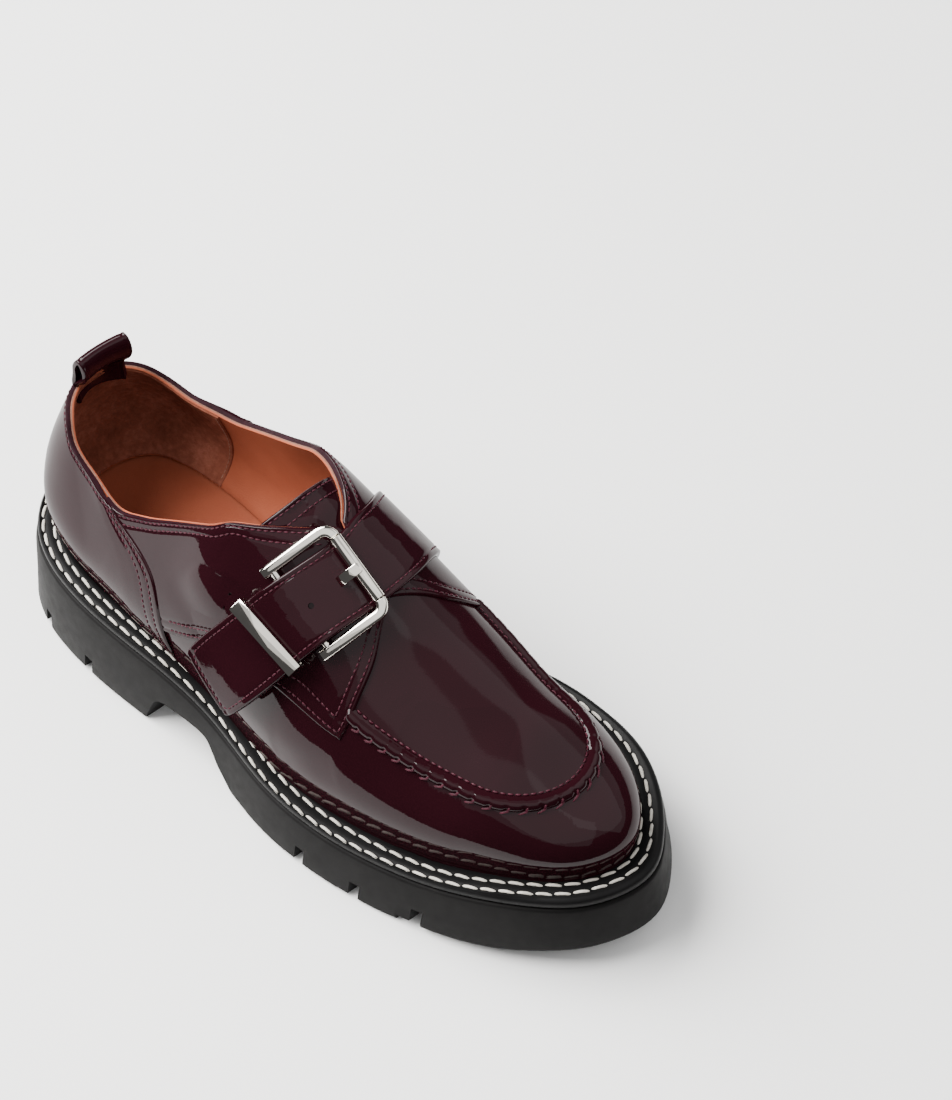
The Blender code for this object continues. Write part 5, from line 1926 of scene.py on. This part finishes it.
def strap_panel():
    """The strap from its cut tip, its corners rounded, to its sewn end."""
    last = len(STRAP) - 1.0
    rows = [0.36, *np.linspace(0.7, last, 40)]
    low = [(0.03, 0.955), (0.14, 0.99)] + [(at, 1.0) for at in rows]
    high = [(0.03, 0.045), (0.14, 0.01)] + [(at, 0.0) for at in rows]
    back = flowing_path([low[0], (0.0, 0.85), (-0.04, 0.5), (0.0, 0.15), high[0]])
    return Panel(over_strap, low, [(last, 1.0), (last, 0.0)], high, back, 1.3)


def buckle_axes():
    """Directions across the buckle, down it, and out from the shoe."""
    across = BUCKLE_ACROSS / np.linalg.norm(BUCKLE_ACROSS)
    down = BUCKLE_ENDS - BUCKLE_MIDDLE
    down = down - across * (down @ across)
    down /= np.linalg.norm(down)
    out = np.cross(down, across)
    return across, down, out if out[2] > 0 else -out


def in_buckle(points):
    """Points of the shoe from (across, down, height) ones in the buckle's arched plane."""
    points = np.asarray(points, float)
    side, along, out = buckle_axes()
    share = points[..., 1:2] / BUCKLE_LENGTH
    lift = BUCKLE_LIFT[0] + (BUCKLE_LIFT[1] - BUCKLE_LIFT[0]) * share + 4 * BUCKLE_ARCH * share * (1 - share)
    return BUCKLE_MIDDLE + side * points[..., :1] + along * points[..., 1:2] + out * (lift + points[..., 2:3])


def nearest_on_strap(point):
    """The strap's (row, share) nearest to a point."""
    at, share = np.meshgrid(np.linspace(3, 9, 241), np.linspace(0, 1, 81), indexing="ij")
    gap = np.linalg.norm(over_strap(at, share)[0] - point, axis=-1)
    i, j = np.unravel_index(np.argmin(gap), gap.shape)
    return at[i, j], share[i, j]


def strap_hole(point, radius, sides=20):
    """A cutter sunk most of the way into the strap at the place nearest to a point."""
    at, share = nearest_on_strap(point)
    centre, normal = (value[0] for value in over_strap(np.array((at,)), np.array((share,))))
    run = over_strap(np.array((at + 0.1,)), np.array((share,)))[0][0] - centre
    run /= np.linalg.norm(run)
    across = np.cross(normal, run)
    turns = np.linspace(0, 2 * math.pi, sides, endpoint=False) + math.pi / sides
    grow = radius * (1 / math.cos(math.pi / sides))
    points, faces = prism([(grow * math.cos(t), grow * math.sin(t)) for t in turns], (0.6, 5.0))
    placed = centre + run * points[:, :1] + across * points[:, 1:2] + normal * points[:, 2:3]
    return loose_object("hole_cutter", placed, faces)


def make_strap():
    """The strap with its spare hole, and the row of stitches round its edges."""
    panel = strap_panel()
    hole = strap_hole(np.array(SPARE_HOLE), SPARE_HOLE_RADIUS)
    grooves = [(side, STRAP_ROW, 0.25, 0.6) for side in (0, 2, 3)]
    settings = (CREASED_PATENT, "patent_leather", creases(*STRAP_CREASES), 0.75, grooves, ("strap",))
    make_panel("strap_leather", panel, STRAP_THICKNESS, 0.0, *settings, cutters=(hole,))
    d = STRAP_ROW
    row = [(panel.across - 1.0, d), (d + 2.0, d), (d, d + 2.0)]
    row += [(d, panel.up - d - 2.0), (d + 2.0, panel.up - d), (panel.across - 1.0, panel.up - d)]
    sew("strap_stitches", panel, [row], STRAP_THICKNESS - 0.18)


def place_in_buckle(obj):
    """Moves a piece modelled in (across, down, height) millimetres on to the shoe."""
    points = np.array([tuple(obj.matrix_world @ v.co) for v in obj.data.vertices])
    for vertex, place in zip(obj.data.vertices, in_frame(in_buckle(points))):
        vertex.co = place
    obj.matrix_world = Matrix.Identity(4)


def make_buckle_frame():
    """A rounded bar drawn round from an arm's end into the roller, mirrored, with the hinge."""
    half = (BUCKLE_WIDTH - BAR_WIDTH) / 2
    bend = BUCKLE_CORNER - BAR_WIDTH / 2
    middle = ROLLER_RADIUS
    corner = -half + bend
    end = (-half, BUCKLE_LENGTH, 0.0)
    add = bpy.ops.mesh.primitive_plane_add
    bar = basic_solid("buckle_bar", add, size=1.0, location=end, rotation=(math.pi / 2, 0, 0))
    edit_all()
    bpy.ops.transform.resize(value=(BAR_WIDTH, 1.0, BAR_THICKNESS), center_override=end)
    bpy.ops.mesh.bevel(offset=1.25, affect="VERTICES", segments=4)
    run = BUCKLE_LENGTH - middle - bend
    for _ in range(8):
        bpy.ops.mesh.extrude_region_move(TRANSFORM_OT_translate={"value": (0.0, -run / 8, 0.0)})
    bpy.ops.mesh.spin(steps=14, angle=math.pi / 2, center=(corner, middle + bend, 0.0), axis=(0, 0, -1))
    bpy.ops.mesh.extrude_region_move(TRANSFORM_OT_translate={"value": (0.35, 0.0, 0.0)})
    bpy.ops.transform.resize(value=(1.0, 0.5, 0.6), center_override=(corner + 0.35, middle, 0.0))
    bpy.ops.mesh.extrude_region_move(TRANSFORM_OT_translate={"value": (-corner - 0.35, 0.0, 0.0)})
    bpy.ops.mesh.delete(type="ONLY_FACE")
    end_edit()
    points = np.array([tuple(v.co) for v in bar.data.vertices])
    assert abs(points[:, 1].min() - middle + BAR_WIDTH / 2) < 0.1, "the buckle's corner turned the wrong way"
    apply_modifier(bar, "MIRROR", use_axis=(True, False, False), merge_threshold=0.001)
    bevel(bar, 0.2, 55)
    place_in_buckle(bar)
    hinge = crosswise_rod("hinge", 28, HINGE_RADIUS, 2 * half, HINGE_DOWN)
    place_in_buckle(hinge)
    join_to(bar, hinge)
    finish_piece(bar, NICKEL, "polished_nickel", 35.0, ("buckle_frame",))


def join_to(main_piece, other):
    select_only(main_piece, other)
    bpy.ops.object.join()


def crosswise_rod(name, sides, radius, length, down):
    """A rod across the buckle this far down it."""
    add = bpy.ops.mesh.primitive_cylinder_add
    place = {"location": (0, down, 0), "rotation": (0, math.pi / 2, 0)}
    return basic_solid(name, add, vertices=sides, radius=radius, depth=length, **place)


SEAM_TURN = 104.0  # how far round the roller its seam lies


def make_roller():
    """The tube round the closed side, its ends hollow, with the seam it is rolled up from."""
    roller = crosswise_rod("roller", 48, ROLLER_RADIUS, ROLLER_LENGTH, ROLLER_RADIUS)
    pick(roller, 2, lambda face: abs(face.normal.x) > 0.9)
    bpy.ops.mesh.inset(thickness=ROLLER_RADIUS - ROLLER_BORE, use_individual=True)
    bpy.ops.mesh.extrude_region_shrink_fatten(TRANSFORM_OT_shrink_fatten={"value": -2.5})
    end_edit()

    def in_seam(face):
        turn = math.degrees(math.atan2(face.normal.z, ROLLER_RADIUS - face.center.y))
        outside = math.hypot(face.center.z, ROLLER_RADIUS - face.center.y) > (ROLLER_RADIUS + ROLLER_BORE) / 2
        return abs(face.normal.x) < 0.1 and outside and abs(turn - SEAM_TURN) < 4.0

    pick(roller, 2, in_seam)
    bpy.ops.mesh.extrude_region_shrink_fatten(TRANSFORM_OT_shrink_fatten={"value": -0.35})
    end_edit()
    bevel(roller, 0.1, 40)
    place_in_buckle(roller)
    finish_piece(roller, NICKEL, "polished_nickel", 35.0, ("buckle_roller",))


PRONG_GAP = 0.3  # between the prong and the bars
PRONG_REST = ROLLER_RADIUS + PRONG_GAP + PRONG_THICKNESS / 2
PRONG_PATH = (  # down the buckle, height, share of its width
    (HINGE_DOWN - HINGE_RADIUS - PRONG_GAP - PRONG_THICKNESS / 2, 0.0, 1.0),
    (21.0, -1.6, 1.0),
    (15.0, -2.4, 1.0),
    (12.2, -2.4, 1.0),
    (10.6, -1.0, 1.0),
    (9.2, 0.8, 1.0),
    (6.5, 2.6, 1.0),
    (4.2, PRONG_REST, 1.0),
    (1.6, PRONG_REST, 1.0),
    (0.7, PRONG_REST - 0.25, 0.55),
)


def make_prong():
    """A flat strip from the hinge, up through its hole, its chamfered tip on the roller."""
    stations = np.array(PRONG_PATH)
    curve = steady_curve(lengths_along(stations[:, :2]), stations)
    prong = basic_solid("prong", bpy.ops.mesh.primitive_cube_add, size=1.0)
    cut_across(prong, 0, 40)
    points = np.array([tuple(v.co) for v in prong.data.vertices])
    where = (points[:, 0] + 0.5) * curve.at[-1]
    place = curve(where)
    run = unit(curve.slope(where)[:, :2])
    up = points[:, 2] * PRONG_THICKNESS
    across = PRONG_ACROSS + points[:, 1] * PRONG_WIDTH * place[:, 2]
    moved = np.column_stack((across, place[:, 0] + run[:, 1] * up, place[:, 1] - run[:, 0] * up))
    for vertex, co in zip(prong.data.vertices, moved):
        vertex.co = co
    bevel(prong, 0.3, 50)
    place_in_buckle(prong)
    finish_piece(prong, NICKEL, "polished_nickel", 35.0, ("buckle_prong",))


KEEPER_ROW = 3.25  # the row of the strap's table it sits at
KEEPER_TILT = (0.2, 0.1, 0.5)  # how far its face leans back from the strap's
KEEPER_ROD = 0.75  # the radius of its rod


def make_keeper():
    """A flat bright bar over the strap, its thin rod closing it underneath."""
    upper, lower = over_strap(np.full(2, KEEPER_ROW), np.array((0.0, 1.0)))[0]
    middle_out = over_strap(np.array((KEEPER_ROW,)), np.array((0.5,)))[1][0]
    run = lower - upper
    length = float(np.linalg.norm(run)) + 2.8
    run /= np.linalg.norm(run)
    up = middle_out + np.array(KEEPER_TILT)
    up -= run * (up @ run)
    up /= np.linalg.norm(up)
    side = np.cross(up, run)
    middle = (upper + lower) / 2 + middle_out * (STRAP_THICKNESS + 1.3 + KEEPER_THICKNESS / 2)
    bar = basic_solid("strap_keeper_bar", bpy.ops.mesh.primitive_cube_add, size=1.0)
    edit_all()
    bpy.ops.transform.resize(value=(length, KEEPER_WIDTH, KEEPER_THICKNESS), center_override=(0, 0, 0))
    bpy.ops.mesh.bevel(offset=0.3, segments=2)
    end_edit()
    for vertex in bar.data.vertices:
        vertex.co = in_frame(middle + run * vertex.co.x + side * vertex.co.y + up * vertex.co.z)
    path = []
    for edge, sign in ((upper, -1), (lower, 1)):
        top = edge + up * (STRAP_THICKNESS + 0.6) + run * sign * 0.7
        corner = [top, top + run * sign * 0.3 - up * 1.3]
        corner += [edge - up * 1.2 + run * sign * 0.7, edge - up * 1.6 - run * sign * 2.0]
        path += corner if sign < 0 else corner[::-1]
    path = np.array(path)
    at = lengths_along(path)
    slopes = np.gradient(path, at, axis=0)
    path = flowing_curve(at, path, (slopes[0], slopes[-1]))(np.linspace(0, at[-1], 60))
    join_to(bar, loose_object("keeper_rod", *tube(path, KEEPER_ROD, 14)))
    finish_piece(bar, NICKEL, "polished_nickel", 35.0, ("strap_keeper",))


# ---- Pull loop

LOOP_TWIST = 3.2  # how far its outer end turns back at the top
LOOP_LEAN = 1.2  # and drops
LOOP_ROWS = 60
LOOP_COLUMNS = 12


def loop_grid():
    """Points of the loop's middle sheet: up one leg, over, and down the other."""
    path = np.array(LOOP_PATH)
    at = lengths_along(path[:, :2])
    curve = flowing_curve(at, path, ((0.35, 0.94, 0.0), (-0.35, -0.94, 0.0)))
    rows = []
    for where in np.linspace(0, at[-1], LOOP_ROWS + 1):
        along, height, bow = curve(where)[0]
        across = np.linspace(-0.5, 0.5, LOOP_COLUMNS + 1) * LOOP_WIDTH + LOOP_MIDDLE
        bowed = along + bow * ((across - HEEL_POINT[1]) / (LOOP_WIDTH / 2)) ** 2
        outward = (LOOP_MIDDLE - across) / (LOOP_WIDTH / 2)
        rise = np.clip((height - 92.0) / 16.0, 0, 1)
        twisted = bowed - LOOP_TWIST * 0.5 * (outward + 1) * rise
        rows.append(np.column_stack((twisted, across, height - LOOP_LEAN * outward * rise)))
    return np.array(rows)


LOOP_GRID = loop_grid()


def over_loop(at, across):
    """Points and normals of the pull loop's middle sheet."""
    return over_grid(LOOP_GRID, np.asarray(at, float), np.asarray(across, float))


def make_pull_loop():
    """The folded loop at the back of the collar."""
    low, high = ([(at, edge) for at in np.linspace(0, LOOP_ROWS, 30)] for edge in (0, LOOP_COLUMNS))
    panel = Panel(over_loop, low, [low[-1], high[-1]], high, [low[0], high[0]], 1.0)
    half = LOOP_THICKNESS / 2
    grooves = [(0, 1.8, 0.15, 0.5), (2, 1.8, 0.15, 0.5)]
    make_panel("heel_pull_loop", panel, half, -half, PATENT, "patent_leather", None, 0.6, grooves, ("pull_loop",))


# ---- Stage


def area_light(name, size, brightness, colour=(1.0, 1.0, 1.0)):
    """A rectangular light as bright as a white card would be at 1."""
    data = bpy.data.lights.new(name, "AREA")
    data.shape = "RECTANGLE"
    data.size, data.size_y = size
    data.energy = brightness * math.pi * size[0] * size[1]
    data.color = colour
    return add_object(name, data)


def softbox(name, azimuth, elevation, distance, *settings):
    """A rectangular light aimed at the shoe."""
    turn, rise = math.radians(azimuth), math.radians(elevation)
    light = area_light(name, *settings)
    way = Vector((math.cos(turn) * math.cos(rise), math.sin(turn) * math.cos(rise), math.sin(rise)))
    light.location = way * distance
    light.rotation_euler = way.to_track_quat("Z", "Y").to_euler()


SOFT_STEPS = 5  # each screen is a nest of lights, so that its edges fade
# in metres; the near edges lie just below the camera's view
FLOOR_CORNERS = ((-3.0, -1.142), (0.0228, -0.203), (3.0, 2.6), (3.0, 5.0), (-3.0, 5.0))
DARK_ROOM = (0.97, 0.97, 1.0, 1.0)
DARK_ROOM_STRENGTH = 0.09


def make_stage():
    """A pale table, its near edges just out of view, under large soft lights in a dark room."""
    corners = [(x * 1000 + CENTRE[0], y * 1000 + CENTRE[1], 0.0) for x, y in FLOOR_CORNERS]
    floor = loose_object("floor", corners, [range(len(corners))])
    tones = ((0.80, 0.80, 0.79), 0.75, (2.0, 2.0), (0.79, 0.79, 0.785), (0.81, 0.81, 0.805))
    floor.data.materials.append(drifting("pale_floor", *tones))
    world = bpy.data.worlds.new("studio")
    world.use_nodes = True
    background = world.node_tree.nodes["Background"].inputs
    background["Color"].default_value = DARK_ROOM
    background["Strength"].default_value = DARK_ROOM_STRENGTH
    bpy.context.scene.world = world
    softbox("key_softbox", 205.0, 50.0, 1.9, (1.9, 1.6), 22.0, (1.0, 0.99, 0.975))
    for k in range(SOFT_STEPS):
        grow = k / (SOFT_STEPS - 1)
        softbox("front_screen_%d" % k, -52.0, 50.0, 2.0, (1.3 + grow * 1.3, 0.7 + grow), 3.8 / SOFT_STEPS)
        softbox("side_screen_%d" % k, 52.0, 46.0, 2.0, (1.2 + grow * 1.3, 0.9 + grow), 4.6 / SOFT_STEPS)
        ceiling = area_light("ceiling_%d" % k, (1.9 + grow * 0.5, 4.6), 3.6 / SOFT_STEPS)
        ceiling.location = (1.30 - grow * 0.25, 0.0, 1.7)


CAMERA_PLACE = (0.5029, -0.4793, 0.9743)
CAMERA_TURN = math.radians(42.49)
CAMERA_RISE = math.radians(51.60)
CAMERA_LENS = 107.37


def make_camera():
    """Level sideways, looking down at the outer side of the toe from a little over a metre."""
    level = math.cos(CAMERA_RISE)
    back = Vector((math.sin(CAMERA_TURN) * level, -math.cos(CAMERA_TURN) * level, math.sin(CAMERA_RISE)))
    right = Vector((math.cos(CAMERA_TURN), math.sin(CAMERA_TURN), 0.0))
    up = back.cross(right)
    data = bpy.data.cameras.new("camera")
    data.sensor_width = 36.0
    data.lens = CAMERA_LENS
    camera = add_object("camera", data)
    camera.matrix_world = Matrix.Translation(CAMERA_PLACE) @ Matrix((right, up, back)).transposed().to_4x4()
    bpy.context.scene.camera = camera


for make in (make_outsole, make_welt, make_welt_stitches, make_insole):
    make()
for make in (make_vamp, make_apron, make_ridge, make_ridge_stitches):
    make()
make_quarter(-1, "outer_quarter")
make_quarter(1, "inner_quarter")
for make in (make_back_panel, make_lining, make_heel_lining, make_tongue):
    make()
for make in (make_strap, make_buckle_frame, make_roller, make_prong, make_keeper, make_pull_loop):
    make()
make_stage()
make_camera()
